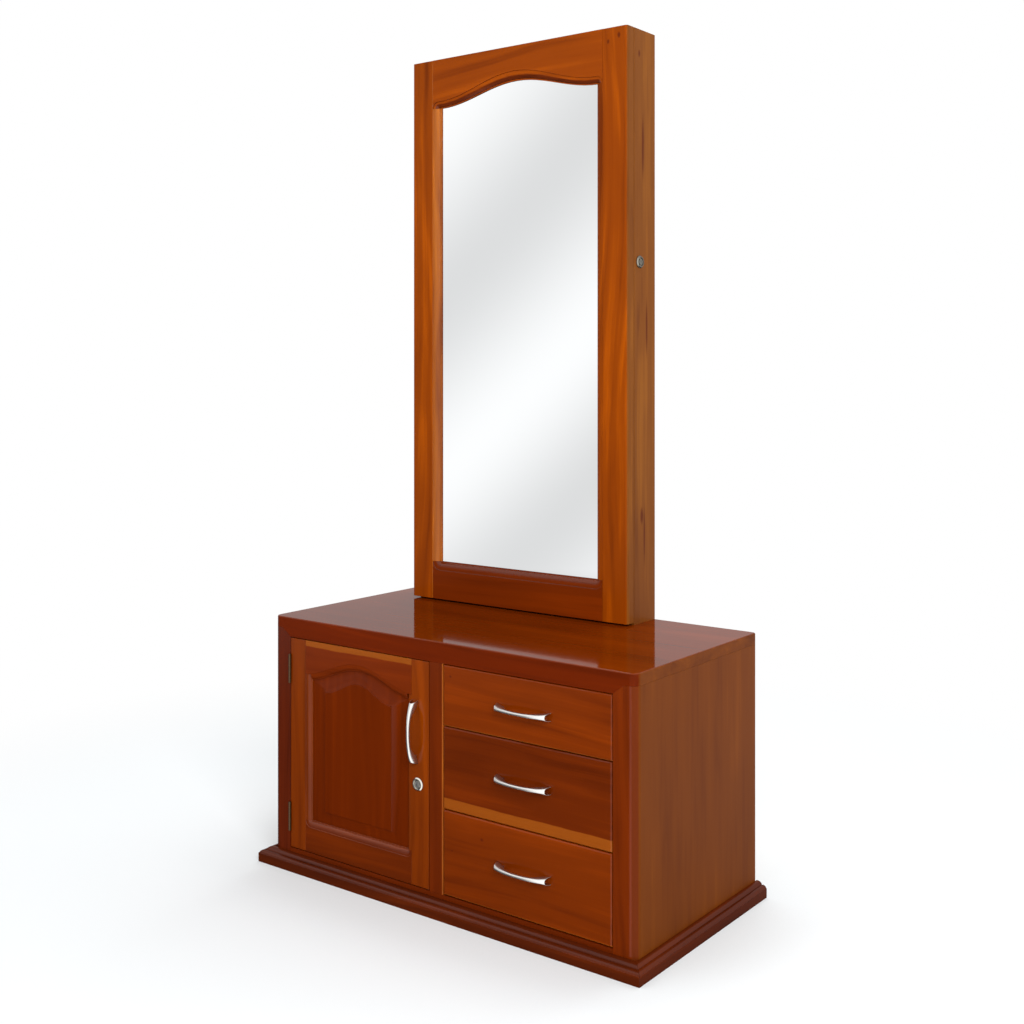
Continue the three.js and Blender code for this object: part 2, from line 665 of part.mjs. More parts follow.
// Plug with its keyway upright; the cam points along +X and is then turned round the axis
function lockPlug(boardThickness, tail, camReach, camTurn) {
  const camFront = lockEnd(boardThickness, tail) + RUN;
  const camBack = camFront + LOCK_CAM;
  const core = turned([
    [0, -LOCK_RING_HEIGHT],
    [LOCK_PLUG_HEAD_RADIUS, -LOCK_RING_HEIGHT],
    [LOCK_PLUG_HEAD_RADIUS, LOCK_PLUG_HEAD - LOCK_RING_HEIGHT],
    [LOCK_PLUG_RADIUS, LOCK_PLUG_HEAD - LOCK_RING_HEIGHT],
    [LOCK_PLUG_RADIUS, camBack],
    [0, camBack],
  ]);
  const tip = camReach - LOCK_CAM_WIDTH / 2;
  const cam = slabY([
    ...quarter(0, 0, LOCK_CAM_WIDTH / 2, LOCK_CAM_WIDTH / 2, 1, 3, CORNER_STEPS * 2),
    ...quarter(tip, 0, LOCK_CAM_WIDTH / 2, LOCK_CAM_WIDTH / 2, 3, 5, CORNER_STEPS * 2),
  ], camFront, camBack);
  const keyway = block(
    -LOCK_KEY_WIDTH / 2, LOCK_KEY_WIDTH / 2, -LOCK_RING_HEIGHT - OVERRUN, LOCK_KEY_DEPTH - LOCK_RING_HEIGHT,
    -LOCK_KEY_LENGTH / 2, LOCK_KEY_LENGTH / 2,
  );
  return cut(join(core, cam.rotateY(camTurn)), keyway);
}

// Bow handle along X on a face at y = 0: a hollow strap, narrow in the middle, flared to raked ends
function strapSection(share) {
  const half = THREE.MathUtils.lerp(HANDLE_WAIST, HANDLE_FLARE, share * share) / 2;
  const rise = strapRise(share);
  const depth = strapDepth(share);
  const outer = quarter(0, depth - rise, half, depth, 4, 2, HANDLE_ARC_STEPS);
  const inner = quarter(0, depth - rise, half - HANDLE_WALL, depth - HANDLE_WALL, 2, 4, HANDLE_ARC_STEPS);
  return [...outer, ...inner];
}

function strapRise(share) {
  return THREE.MathUtils.lerp(HANDLE_REACH, HANDLE_END_REACH, share * share);
}

function strapDepth(share) {
  return THREE.MathUtils.lerp(HANDLE_STRAP_DEPTH, HANDLE_END_REACH - FIT, share * share);
}

// 0 at the strap's edges and 1 at its crown
function strapCrown(share, y) {
  return (strapDepth(share) - strapRise(share) - y) / strapDepth(share);
}

// Place along the strap: the crown is shorter than the two edges, so that both ends open outwards
function strapPlace(share, crown) {
  return share * (HANDLE_LENGTH / 2 - HANDLE_END_RAKE * crown * share * share);
}

function bowHandle(boardThickness) {
  const shares = Array.from({ length: HANDLE_STEPS + 1 }, (_, i) => THREE.MathUtils.lerp(-1, 1, i / HANDLE_STEPS));
  const strap = loft(shares.map(strapSection), (point, step) => (
    new THREE.Vector3(strapPlace(shares[step], strapCrown(shares[step], point.y)), point.y, point.x)
  ));
  const postEdge = HANDLE_SCREW_SPACING / 2 + HANDLE_POST_RADIUS;
  const postShare = postEdge * 2 / HANDLE_LENGTH;
  const shift = postEdge - strapPlace(postShare, 1);
  const postTop = HANDLE_WALL / 2 - strapRise((postEdge + shift) * 2 / HANDLE_LENGTH);
  const headBase = boardThickness + FIT;
  const posts = [-1, 1].flatMap((side) => [
    dowelY(HANDLE_POST_RADIUS, postTop, -FIT, SMALL_STEPS),
    dowelY(SCREW_RADIUS, -FIT - OVERRUN, headBase + SCREW_HEAD, SMALL_STEPS),
    dowelY(SCREW_HEAD_RADIUS, headBase, headBase + SCREW_HEAD, SMALL_STEPS),
  ].map((bar) => bar.translate(side * HANDLE_SCREW_SPACING / 2, 0, 0)));
  return join(strap, ...posts);
}

// Holes for a handle's two screws in a board, along X or, where upright, along Z
function handleHoles(x, z, boardThickness, isUpright) {
  return [-1, 1].map((side) => {
    const offset = side * HANDLE_SCREW_SPACING / 2;
    const hole = dowelY(SCREW_RADIUS + FIT, -OVERRUN, boardThickness + OVERRUN, SMALL_STEPS);
    return hole.translate(isUpright ? x : x + offset, 0, isUpright ? z + offset : z);
  });
}

// Frame member across its width: flat face, moulding, its inner edge as the tail gives it, and its back
function memberOutline(flat, width, depth, thickness, tail, round) {
  const corner = round > 0 ? quarter(round, round, round, round, 2, 3, CORNER_STEPS) : vectors([[0, 0]]);
  const moulding = stickingProfile(width, depth).map((point) => new THREE.Vector2(flat + point.x, point.y));
  return [...corner, new THREE.Vector2(flat, 0), ...moulding, ...tail, new THREE.Vector2(0, thickness)];
}

function placesAlong(start, end, steps) {
  return Array.from({ length: steps + 1 }, (_, i) => THREE.MathUtils.lerp(start, end, i / steps));
}

// Hollow that the moulding leaves along a rail. A router cuts it, so it stops round at both ends.
// sizesAt gives the rail's flat and the moulding's width at x, heightOf turns a place across the rail into z
function routedHollow(start, end, steps, sizesAt, depth, heightOf) {
  const startWidth = sizesAt(start).width;
  const endWidth = sizesAt(end).width;
  const places = placesAlong(start + startWidth, end - endWidth, steps);
  const sections = places.map((x) => {
    const { flat, width } = sizesAt(x);
    const past = flat + width + OVERRUN;
    const moulding = stickingProfile(width, depth).slice(0, -1);
    return [
      ...vectors([[past, -OVERRUN], [flat, -OVERRUN]]),
      ...moulding.map((point) => new THREE.Vector2(flat + point.x, point.y)),
      new THREE.Vector2(past, moulding.at(-1).y),
    ];
  });
  const along = loft(sections, (point, step) => new THREE.Vector3(places[step], point.y, heightOf(point.x)));
  const stops = [[places[0], startWidth], [places.at(-1), endWidth]].map(([x, width]) => {
    const outline = stickingProfile(width, depth).slice(0, -1).map((point) => [width - point.x, point.y]);
    const bit = turned([[0, -OVERRUN], [width, -OVERRUN], ...outline]);
    return bit.translate(x, 0, heightOf(sizesAt(x).flat + width));
  });
  return [along, ...stops];
}

// Cupboard door: places in its own frame, from its left edge, front face and lower edge
const grooveFront = DOOR_STICKING_DEPTH + PANEL_LIP;
const grooveBack = grooveFront + PANEL_GROOVE_WIDTH;
const doorSight = DOOR_STILE_FLAT + DOOR_STICKING_WIDTH;
const doorSightBottom = DOOR_RAIL_BOTTOM_FLAT + DOOR_STICKING_WIDTH;
const doorMiddle = doorWidth / 2;
const doorRailLeft = DOOR_STILE_FLAT + FIT;
const doorRailRight = doorWidth - DOOR_STILE_FLAT - FIT;
const doorArchEnd = frontsHeight - DOOR_RAIL_TOP_MIDDLE - DOOR_ARCH_RISE;
const doorSightEnd = doorArchEnd - DOOR_STICKING_WIDTH;
const tenonFront = (DOOR_THICKNESS - TENON_THICKNESS) / 2;
const tenonBack = tenonFront + TENON_THICKNESS;
const doorTenonSpans = [
  [TENON_SHOULDER, DOOR_RAIL_BOTTOM_FLAT - TENON_SHOULDER],
  [doorArchEnd + TENON_SHOULDER, frontsHeight - TENON_SHOULDER],
];

function grooveOutline(reach) {
  return vectors([
    [reach, grooveFront],
    [reach - PANEL_GROOVE_DEPTH, grooveFront],
    [reach - PANEL_GROOVE_DEPTH, grooveBack],
    [reach, grooveBack],
    [reach, DOOR_THICKNESS],
  ]);
}

function doorMember(flat) {
  const tail = grooveOutline(flat + DOOR_STICKING_WIDTH);
  return memberOutline(flat, DOOR_STICKING_WIDTH, DOOR_STICKING_DEPTH, DOOR_THICKNESS, tail, 0);
}

// Left stile: its moulding stops square at both rails, and it has a mortise for each
function doorStile() {
  const body = upright(doorMember(DOOR_STILE_FLAT), 0, frontsHeight);
  const spans = [[-OVERRUN, doorSightBottom + FIT], [doorArchEnd, frontsHeight + OVERRUN]];
  const seats = spans.map(([z0, z1]) => block(
    DOOR_STILE_FLAT, doorSight + OVERRUN, -OVERRUN, DOOR_THICKNESS + OVERRUN, z0, z1,
  ));
  const mortises = doorTenonSpans.map(([z0, z1]) => block(
    DOOR_STILE_FLAT - DOOR_TENON - FIT, DOOR_STILE_FLAT + OVERRUN, tenonFront - FIT, tenonBack + FIT, z0 - FIT, z1 + FIT,
  ));
  return cut(body, ...seats, ...mortises);
}

function doorStileLeft() {
  return cut(doorStile(), ...doorHingeLevels.map(([, level]) => hingePocket(0, -1, level)));
}

function doorStileRight() {
  const lockHole = dowelY(LOCK_BARREL_RADIUS + FIT, -OVERRUN, DOOR_THICKNESS + OVERRUN);
  lockHole.translate(doorWidth - DOOR_LOCK_INSET, 0, doorLockLevel);
  const holes = handleHoles(doorWidth - DOOR_HANDLE_INSET, doorHandleLevel, DOOR_THICKNESS, true);
  return cut(flipX(doorStile(), doorWidth), lockHole, ...holes);
}

function doorTenons([z0, z1]) {
  const left = block(
    DOOR_STILE_FLAT - DOOR_TENON, doorRailLeft + OVERRUN, tenonFront, tenonBack, z0, z1,
  );
  return [left, flipX(left, doorWidth)];
}

function doorRailBottom() {
  const reach = DOOR_RAIL_BOTTOM_FLAT + DOOR_STICKING_WIDTH;
  const outline = [...vectors([[0, DOOR_THICKNESS], [0, 0], [reach, 0]]), ...grooveOutline(reach)];
  const rail = loft([outline, outline], (point, step) => (
    new THREE.Vector3(step ? doorRailRight : doorRailLeft, point.y, point.x)
  ));
  const sizesAt = () => ({ flat: DOOR_RAIL_BOTTOM_FLAT, width: DOOR_STICKING_WIDTH });
  const hollow = routedHollow(doorRailLeft, doorRailRight, 1, sizesAt, DOOR_STICKING_DEPTH, (across) => across);
  return join(cut(rail, ...hollow), ...doorTenons(doorTenonSpans[0]));
}

// Flat height of the top rail over its arch at a place along the door
function archFlat(x) {
  const share = Math.min(Math.abs(x - doorMiddle) / (doorMiddle - DOOR_STILE_FLAT), 1);
  return DOOR_RAIL_TOP_MIDDLE + DOOR_ARCH_RISE * (1 - archShape(share));
}

function doorRailTop() {
  const places = placesAlong(doorRailLeft, doorRailRight, WAVE_STEPS);
  const rail = loft(places.map((x) => doorMember(archFlat(x))), (point, step) => (
    new THREE.Vector3(places[step], point.y, frontsHeight - point.x)
  ));
  const corner = block(
    DOOR_STILE_FLAT - OVERRUN, doorSight + FIT, -OVERRUN, DOOR_THICKNESS + OVERRUN,
    doorSightEnd - OVERRUN, doorArchEnd + FIT,
  );
  return join(cut(rail, corner, flipX(corner, doorWidth)), ...doorTenons(doorTenonSpans[1]));
}

// Raised and fielded panel: a tongue all round, a flat margin, a bevel, a quirk and an arched field
function panelRing(side, bottom, topAt) {
  const places = placesAlong(doorWidth - side, side, WAVE_STEPS);
  return [
    new THREE.Vector2(side, bottom),
    new THREE.Vector2(doorWidth - side, bottom),
    ...places.map((x) => new THREE.Vector2(x, topAt(x, Math.abs(x - doorMiddle) / (doorMiddle - side)))),
  ];
}

function doorPanel() {
  const sightTop = (x) => frontsHeight - archFlat(x) - DOOR_STICKING_WIDTH;
  const tongue = PANEL_GROOVE_DEPTH - FIT;
  const tongueFront = grooveFront + FIT;
  const fieldTop = (share) => sightTop(doorMiddle) - FIELD_INSET_END - FIELD_ARCH_RISE * (1 - waveShape(share));
  const edge = panelRing(doorSight - tongue, doorSightBottom - tongue, (x) => sightTop(x) + tongue);
  const inner = (share) => panelRing(
    doorSight + FIELD_INSET_SIDE * share,
    doorSightBottom + FIELD_INSET_END * share,
    (x, place) => {
      const sightX = doorMiddle + place * (doorMiddle - doorSight);
      return THREE.MathUtils.lerp(sightTop(sightX), fieldTop(place), share);
    },
  );
  const bevelTop = FIELD_RECESS + FIELD_QUIRK;
  const rings = [
    [edge, grooveBack - FIT],
    [edge, tongueFront],
    [inner(0), tongueFront],
    [inner(1 - FIELD_BEVEL_WIDTH / FIELD_INSET_SIDE), bevelTop + FIELD_BEVEL_RISE],
    [inner(1), bevelTop],
    [inner(1), FIELD_RECESS],
  ];
  return loft(rings.map(([ring]) => ring), (point, step) => new THREE.Vector3(point.x, rings[step][1], point.y));
}

const cupboardDoor = new THREE.Group();
cupboardDoor.position.set(doorLeft, 0, frontsBottom);
cabinet.add(cupboardDoor);
piece("door_stile_left", doorStileLeft(), polishedTeak, cupboardDoor);
piece("door_stile_right", doorStileRight(), polishedTeak, cupboardDoor);
piece("door_rail_top", doorRailTop(), polishedTeak, cupboardDoor);
piece("door_rail_bottom", doorRailBottom(), polishedTeak, cupboardDoor);
piece("door_panel", doorPanel(), polishedTeak, cupboardDoor);
piece("door_handle", bowHandle(DOOR_THICKNESS).rotateY(Math.PI / 2), satinNickel, cupboardDoor,
  doorWidth - DOOR_HANDLE_INSET, 0, doorHandleLevel);
piece("door_lock_body", lockBody(DOOR_THICKNESS, 0), darkNickel, cupboardDoor,
  doorWidth - DOOR_LOCK_INSET, 0, doorLockLevel);
piece("door_lock_plug", lockPlug(DOOR_THICKNESS, 0, DOOR_CAM_REACH, Math.PI / 2), satinNickel, cupboardDoor,
  doorWidth - DOOR_LOCK_INSET, 0, doorLockLevel);
doorHingeLevels.forEach(([place, level]) => {
  const pinX = -FRONT_GAP / 2;
  piece(`door_hinge_${place}_moving`, hingeLeaf(true), satinNickel, cupboardDoor, pinX, -hingeAxisOut, level);
  piece(`door_hinge_${place}_fixed`, hingeLeaf(false), satinNickel, cabinet,
    doorLeft + pinX, -hingeAxisOut, frontsBottom + level);
});

// Drawers: places from the front's left edge, front face and lower edge
const drawerBoxLeft = boxLeft - drawerLeft;
const drawerBoxRight = boxRight - drawerLeft;
const sheetBase = DRAWER_BOX_RISE + DRAWER_SHEET_LEVEL;

function sheetSlot(x0, x1, y0, y1) {
  return block(x0, x1, y0, y1, sheetBase - FIT, sheetBase + DRAWER_SHEET + FIT);
}

function drawerFront(height, handleZ) {
  const rect = (inset) => vectors([
    [inset, inset], [drawerWidth - inset, inset], [drawerWidth - inset, height - inset], [inset, height - inset],
  ]);
  const depths = [0, DRAWER_FRONT_ARRIS, DRAWER_FRONT];
  const outlines = [rect(DRAWER_FRONT_ARRIS), rect(0), rect(0)];
  const board = loft(outlines, (point, step) => new THREE.Vector3(point.x, depths[step], point.y));
  const inner = DRAWER_SIDE - DRAWER_SHEET_SEAT;
  const slot = sheetSlot(
    drawerBoxLeft + inner, drawerBoxRight - inner, DRAWER_FRONT - DRAWER_SHEET_SEAT, DRAWER_FRONT + OVERRUN,
  );
  return cut(board, slot, ...handleHoles(drawerWidth / 2, handleZ, DRAWER_FRONT, false));
}

// Left side: a groove outside runs on the cabinet's runner, a slot inside holds the bottom sheet
function drawerSide(boxHeight, runnerZ) {
  const x1 = drawerBoxLeft + DRAWER_SIDE;
  const board = block(
    drawerBoxLeft, x1, DRAWER_FRONT + FIT, DRAWER_LENGTH, DRAWER_BOX_RISE, DRAWER_BOX_RISE + boxHeight,
  );
  const groove = block(
    drawerBoxLeft - OVERRUN, drawerBoxLeft + RUNNER_SEAT + RUN, RUNNER_SETBACK - RUN, DRAWER_LENGTH + OVERRUN,
    runnerZ - RUNNER_HEIGHT / 2, runnerZ + RUNNER_HEIGHT / 2,
  );
  const slot = sheetSlot(x1 - DRAWER_SHEET_SEAT, x1 + OVERRUN, DRAWER_FRONT, DRAWER_LENGTH + OVERRUN);
  return cut(board, groove, slot);
}

drawerNames.forEach((name, row) => {
  const drawer = new THREE.Group();
  drawer.position.set(drawerLeft, 0, drawerBases[row]);
  cabinet.add(drawer);
  const height = drawerHeights[row];
  const boxHeight = height - DRAWER_BOX_RISE - DRAWER_BOX_DROP;
  const boxTop = DRAWER_BOX_RISE + boxHeight;
  const handleZ = height / 2 + HANDLE_RISES[row];
  const side = drawerSide(boxHeight, runnerLevels[row] - drawerBases[row]);
  const innerLeftX = drawerBoxLeft + DRAWER_SIDE + FIT;
  const innerRightX = drawerBoxRight - DRAWER_SIDE - FIT;
  const seat = DRAWER_SHEET_SEAT - FIT;
  piece(`${name}_front`, drawerFront(height, handleZ), polishedTeak, drawer);
  piece(`${name}_side_left`, side, drawerBoxWood, drawer);
  piece(`${name}_side_right`, flipX(side, drawerBoxLeft + drawerBoxRight), drawerBoxWood, drawer);
  piece(`${name}_back`, block(
    innerLeftX, innerRightX, DRAWER_LENGTH - DRAWER_BACK, DRAWER_LENGTH, sheetBase + DRAWER_SHEET + FIT, boxTop,
  ), drawerBoxWood, drawer);
  piece(`${name}_bottom`, block(
    innerLeftX - seat, innerRightX + seat, DRAWER_FRONT - seat, DRAWER_LENGTH, sheetBase, sheetBase + DRAWER_SHEET,
  ), plywood, drawer);
  piece(`${name}_handle`, bowHandle(DRAWER_FRONT), satinNickel, drawer, drawerWidth / 2, 0, handleZ);
});

// Mirror cabinet: places from its left edge, its back and its foot on the cabinet top
const towerFront = CABINET_DEPTH - TOWER_DEPTH;
const boxFront = MIRROR_DOOR_THICKNESS + MIRROR_SEAM;
const towerInnerLeft = TOWER_BOARD + FIT;
const towerInnerRight = TOWER_WIDTH - TOWER_BOARD - FIT;
const towerBackFront = TOWER_DEPTH - BACK_PANEL;
const lockMiddle = boxFront + MIRROR_LOCK_SETBACK;
const mirrorCabinet = new THREE.Group();
mirrorCabinet.position.set(TOWER_LEFT, towerFront, CABINET_HEIGHT);
cabinet.add(mirrorCabinet);

// Pocket for a hinge leaf in a face across Y, reaching in from the left edge
function seamPocket(faceY, direction, base) {
  const [inner, outer] = [faceY - direction * seamHingeRecess, faceY + direction * OVERRUN];
  const [y0, y1] = [Math.min(inner, outer), Math.max(inner, outer)];
  return block(-OVERRUN, HINGE_LEAF_WIDTH + FIT, y0, y1, base - FIT, base + HINGE_LENGTH + FIT);
}

function towerSideLeft() {
  const board = block(0, TOWER_BOARD, boxFront, TOWER_DEPTH, 0, TOWER_HEIGHT);
  return cut(board, ...mirrorHingeLevels.map(([, level]) => seamPocket(boxFront, -1, level)));
}

function towerSideRight() {
  const board = block(TOWER_WIDTH - TOWER_BOARD, TOWER_WIDTH, boxFront, TOWER_DEPTH, 0, TOWER_HEIGHT);
  const hole = dowelY(LOCK_BARREL_RADIUS + FIT, -OVERRUN, TOWER_BOARD + OVERRUN).rotateZ(Math.PI / 2);
  return cut(board, hole.translate(TOWER_WIDTH, lockMiddle, MIRROR_LOCK_LEVEL));
}

function towerBoard(thickness, front, back) {
  return block(towerInnerLeft, towerInnerRight, front, back, 0, thickness);
}

piece("tower_side_left", towerSideLeft(), brightTeak, mirrorCabinet);
piece("tower_side_right", towerSideRight(), sideTeak, mirrorCabinet);
piece("tower_bottom", towerBoard(TOWER_BOARD, boxFront, TOWER_DEPTH), brightTeak, mirrorCabinet);
piece("tower_top", towerBoard(TOWER_BOARD, boxFront, TOWER_DEPTH), brightTeak, mirrorCabinet,
  0, 0, TOWER_HEIGHT - TOWER_BOARD);
piece("tower_back", block(
  towerInnerLeft, towerInnerRight, towerBackFront, TOWER_DEPTH, TOWER_BOARD + FIT, TOWER_HEIGHT - TOWER_BOARD - FIT,
), plywood, mirrorCabinet);
TOWER_SHELF_SHARES.forEach((share, row) => {
  const shelf = towerBoard(TOWER_SHELF, boxFront + TOWER_SHELF_SETBACK, towerBackFront - FIT);
  const level = THREE.MathUtils.lerp(TOWER_BOARD, TOWER_HEIGHT - TOWER_BOARD - TOWER_SHELF, share);
  piece(row ? "tower_shelf_upper" : "tower_shelf_lower", shelf, plywood, mirrorCabinet, 0, 0, level);
});
piece("mirror_lock_body", lockBody(TOWER_BOARD, MIRROR_LOCK_TAIL).rotateZ(Math.PI / 2), darkNickel, mirrorCabinet,
  TOWER_WIDTH, lockMiddle, MIRROR_LOCK_LEVEL);
piece("mirror_lock_plug", lockPlug(TOWER_BOARD, MIRROR_LOCK_TAIL, MIRROR_CAM_REACH, Math.PI).rotateZ(Math.PI / 2),
  satinNickel, mirrorCabinet, TOWER_WIDTH, lockMiddle, MIRROR_LOCK_LEVEL);

// Mirror door: places from its left edge, front face and lower edge
const mirrorHeight = TOWER_HEIGHT - MIRROR_DOOR_LIFT;
const mirrorMiddle = TOWER_WIDTH / 2;
const mirrorSight = MIRROR_STILE_FLAT + MIRROR_STICKING_WIDTH;
const mirrorRailLeft = MIRROR_STILE_FLAT + FIT;
const mirrorRailRight = TOWER_WIDTH - MIRROR_STILE_FLAT - FIT;
const mirrorSightBottom = MIRROR_RAIL_BOTTOM_FLAT + MIRROR_STICKING_WIDTH;
const mirrorEndFlat = MIRROR_RAIL_TOP_MIDDLE + MIRROR_WAVE_RISE + WAVE_STICKING_SWELL;
const mirrorSightTop = mirrorHeight - mirrorEndFlat - WAVE_STICKING_WIDTH;
const rebateEdge = mirrorSight - GLASS_COVER;
const rebateBottom = mirrorSightBottom - GLASS_COVER;
const rebateTop = MIRROR_RAIL_TOP_MIDDLE + WAVE_STICKING_WIDTH + WAVE_STICKING_SWELL - GLASS_COVER;
const glassFront = MIRROR_STICKING_DEPTH + FIT;
const boardFront = glassFront + GLASS_THICKNESS + FIT;
const mirrorTenonFront = (MIRROR_DOOR_THICKNESS - TENON_THICKNESS) / 2;
const mirrorTenonSpans = [
  [TENON_SHOULDER, MIRROR_RAIL_BOTTOM_FLAT - TENON_SHOULDER],
  [mirrorHeight - mirrorEndFlat + TENON_SHOULDER, mirrorHeight - TENON_SHOULDER],
];

// Rail's outline before its moulding is cut
function mirrorRailOutline(reach, rebate) {
  return vectors([
    [0, MIRROR_DOOR_THICKNESS], [0, 0], [reach, 0],
    [reach, MIRROR_STICKING_DEPTH], [rebate, MIRROR_STICKING_DEPTH], [rebate, MIRROR_DOOR_THICKNESS],
  ]);
}

// Left stile: its moulding stops square at both rails, and it has a mortise for each
function mirrorStile() {
  const tail = vectors([[rebateEdge, MIRROR_STICKING_DEPTH], [rebateEdge, MIRROR_DOOR_THICKNESS]]);
  const body = upright(memberOutline(
    MIRROR_STILE_FLAT, MIRROR_STICKING_WIDTH, MIRROR_STICKING_DEPTH, MIRROR_DOOR_THICKNESS, tail, MIRROR_OUTER_ROUND,
  ), 0, mirrorHeight);
  const seats = [[-OVERRUN, mirrorSightBottom + FIT], [mirrorSightTop - FIT, mirrorHeight + OVERRUN]];
  const mortises = mirrorTenonSpans.map(([z0, z1]) => block(
    MIRROR_STILE_FLAT - MIRROR_TENON - FIT, MIRROR_STILE_FLAT + OVERRUN,
    mirrorTenonFront - FIT, mirrorTenonFront + TENON_THICKNESS + FIT, z0 - FIT, z1 + FIT,
  ));
  return cut(body, ...mortises, ...seats.map(([z0, z1]) => block(
    MIRROR_STILE_FLAT, mirrorSight + OVERRUN, -OVERRUN, MIRROR_DOOR_THICKNESS + OVERRUN, z0, z1,
  )));
}

function mirrorStileLeft() {
  return cut(mirrorStile(), ...mirrorHingeLevels.map(([, level]) => (
    seamPocket(MIRROR_DOOR_THICKNESS, 1, level - MIRROR_DOOR_LIFT)
  )));
}

function mirrorTenons([z0, z1]) {
  const left = block(
    MIRROR_STILE_FLAT - MIRROR_TENON, mirrorRailLeft + OVERRUN,
    mirrorTenonFront, mirrorTenonFront + TENON_THICKNESS, z0, z1,
  );
  return [left, flipX(left, TOWER_WIDTH)];
}

function mirrorRailBottom() {
  const outline = mirrorRailOutline(mirrorSightBottom, rebateBottom);
  const rail = loft([outline, outline], (point, step) => (
    new THREE.Vector3(step ? mirrorRailRight : mirrorRailLeft, point.y, point.x)
  ));
  const sizesAt = () => ({ flat: MIRROR_RAIL_BOTTOM_FLAT, width: MIRROR_STICKING_WIDTH });
  const hollow = routedHollow(
    mirrorRailLeft, mirrorRailRight, 1, sizesAt, MIRROR_STICKING_DEPTH, (across) => across,
  );
  return join(cut(rail, ...hollow), ...mirrorTenons(mirrorTenonSpans[0]));
}

// Sizes of the top rail at x: its lower edge rises in one wave, and its moulding is widest in the middle
function waveSizes(x) {
  const swell = waveShape(Math.min(Math.abs(x - mirrorMiddle) / (mirrorMiddle - mirrorSight), 1));
  return {
    flat: THREE.MathUtils.lerp(mirrorEndFlat, MIRROR_RAIL_TOP_MIDDLE, swell),
    width: WAVE_STICKING_WIDTH + WAVE_STICKING_SWELL * swell,
  };
}

function mirrorRailTop() {
  const heightOf = (across) => mirrorHeight - across;
  const places = placesAlong(mirrorRailLeft, mirrorRailRight, WAVE_STEPS);
  const outlines = places.map((x) => {
    const { flat, width } = waveSizes(x);
    return mirrorRailOutline(flat + width, rebateTop);
  });
  const rail = loft(outlines, (point, step) => new THREE.Vector3(places[step], point.y, heightOf(point.x)));
  const hollow = routedHollow(
    mirrorRailLeft, mirrorRailRight, WAVE_STEPS, waveSizes, MIRROR_STICKING_DEPTH, heightOf,
  );
  return join(cut(rail, ...hollow), ...mirrorTenons(mirrorTenonSpans[1]));
}

function mirrorInsert(front, thickness) {
  return block(
    rebateEdge + FIT, TOWER_WIDTH - rebateEdge - FIT, front, front + thickness,
    rebateBottom + FIT, mirrorHeight - rebateTop - FIT,
  );
}

// Staple on the door's back that the lock's cam turns down into
function mirrorKeeper() {
  const wire = KEEPER_WIRE / 2;
  const legX = KEEPER_SPAN / 2 + wire;
  const base = MIRROR_DOOR_THICKNESS + FIT;
  const barY = lockMiddle + LOCK_CAM_WIDTH / 2 + KEEPER_BACK_CLEARANCE + wire;
  const width = legX + wire + KEEPER_PLATE_MARGIN;
  const plate = block(-width, width, base, base + KEEPER_PLATE, -KEEPER_PLATE_HEIGHT / 2, KEEPER_PLATE_HEIGHT / 2);
  const legs = [-legX, legX].map((x) => dowelY(wire, base, barY, SMALL_STEPS).translate(x, 0, 0));
  const bar = dowelY(wire, -legX - wire, legX + wire, SMALL_STEPS).rotateZ(Math.PI / 2).translate(0, barY, 0);
  return join(plate, ...legs, bar);
}

const mirrorDoor = new THREE.Group();
mirrorDoor.position.set(0, 0, MIRROR_DOOR_LIFT);
mirrorCabinet.add(mirrorDoor);
const mirrorCamX = TOWER_WIDTH - lockEnd(TOWER_BOARD, MIRROR_LOCK_TAIL) - RUN - LOCK_CAM / 2;
piece("mirror_stile_left", mirrorStileLeft(), brightTeak, mirrorDoor);
piece("mirror_stile_right", flipX(mirrorStile(), TOWER_WIDTH), brightTeak, mirrorDoor);
piece("mirror_rail_top", mirrorRailTop(), brightTeak, mirrorDoor);
piece("mirror_rail_bottom", mirrorRailBottom(), brightTeak, mirrorDoor);
piece("mirror_glass", mirrorInsert(glassFront, GLASS_THICKNESS), silveredGlass, mirrorDoor);
piece("mirror_back_board", mirrorInsert(boardFront, MIRROR_BACK_BOARD), plywood, mirrorDoor);
piece("mirror_lock_keeper", mirrorKeeper(), satinNickel, mirrorDoor,
  mirrorCamX, 0, MIRROR_LOCK_LEVEL - MIRROR_DOOR_LIFT - KEEPER_DROP);
mirrorHingeLevels.forEach(([place, level]) => {
  const pinY = MIRROR_DOOR_THICKNESS + MIRROR_SEAM / 2;
  const [moving, fixed] = [true, false].map((isMoving) => hingeLeaf(isMoving).rotateZ(-Math.PI / 2));
  piece(`mirror_hinge_${place}_moving`, moving, satinNickel, mirrorDoor,
    -hingeAxisOut, pinY, level - MIRROR_DOOR_LIFT);
  piece(`mirror_hinge_${place}_fixed`, fixed, satinNickel, mirrorCabinet, -hingeAxisOut, pinY, level);
});

export default dresser;
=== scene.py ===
# %% [markdown]
# # A dresser with a tall mirror
# The object is a low polished cabinet with a cupboard door and drawers, and a shallow mirror cabinet on top.
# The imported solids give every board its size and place. This lesson dresses them: it softens the edges,
# gives each board its own timber, and sets up a studio like the one that a catalogue uses.

# %% Load the solids
import json
import math
import random

import bmesh
import bpy
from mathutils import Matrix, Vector
from mathutils.bvhtree import BVHTree

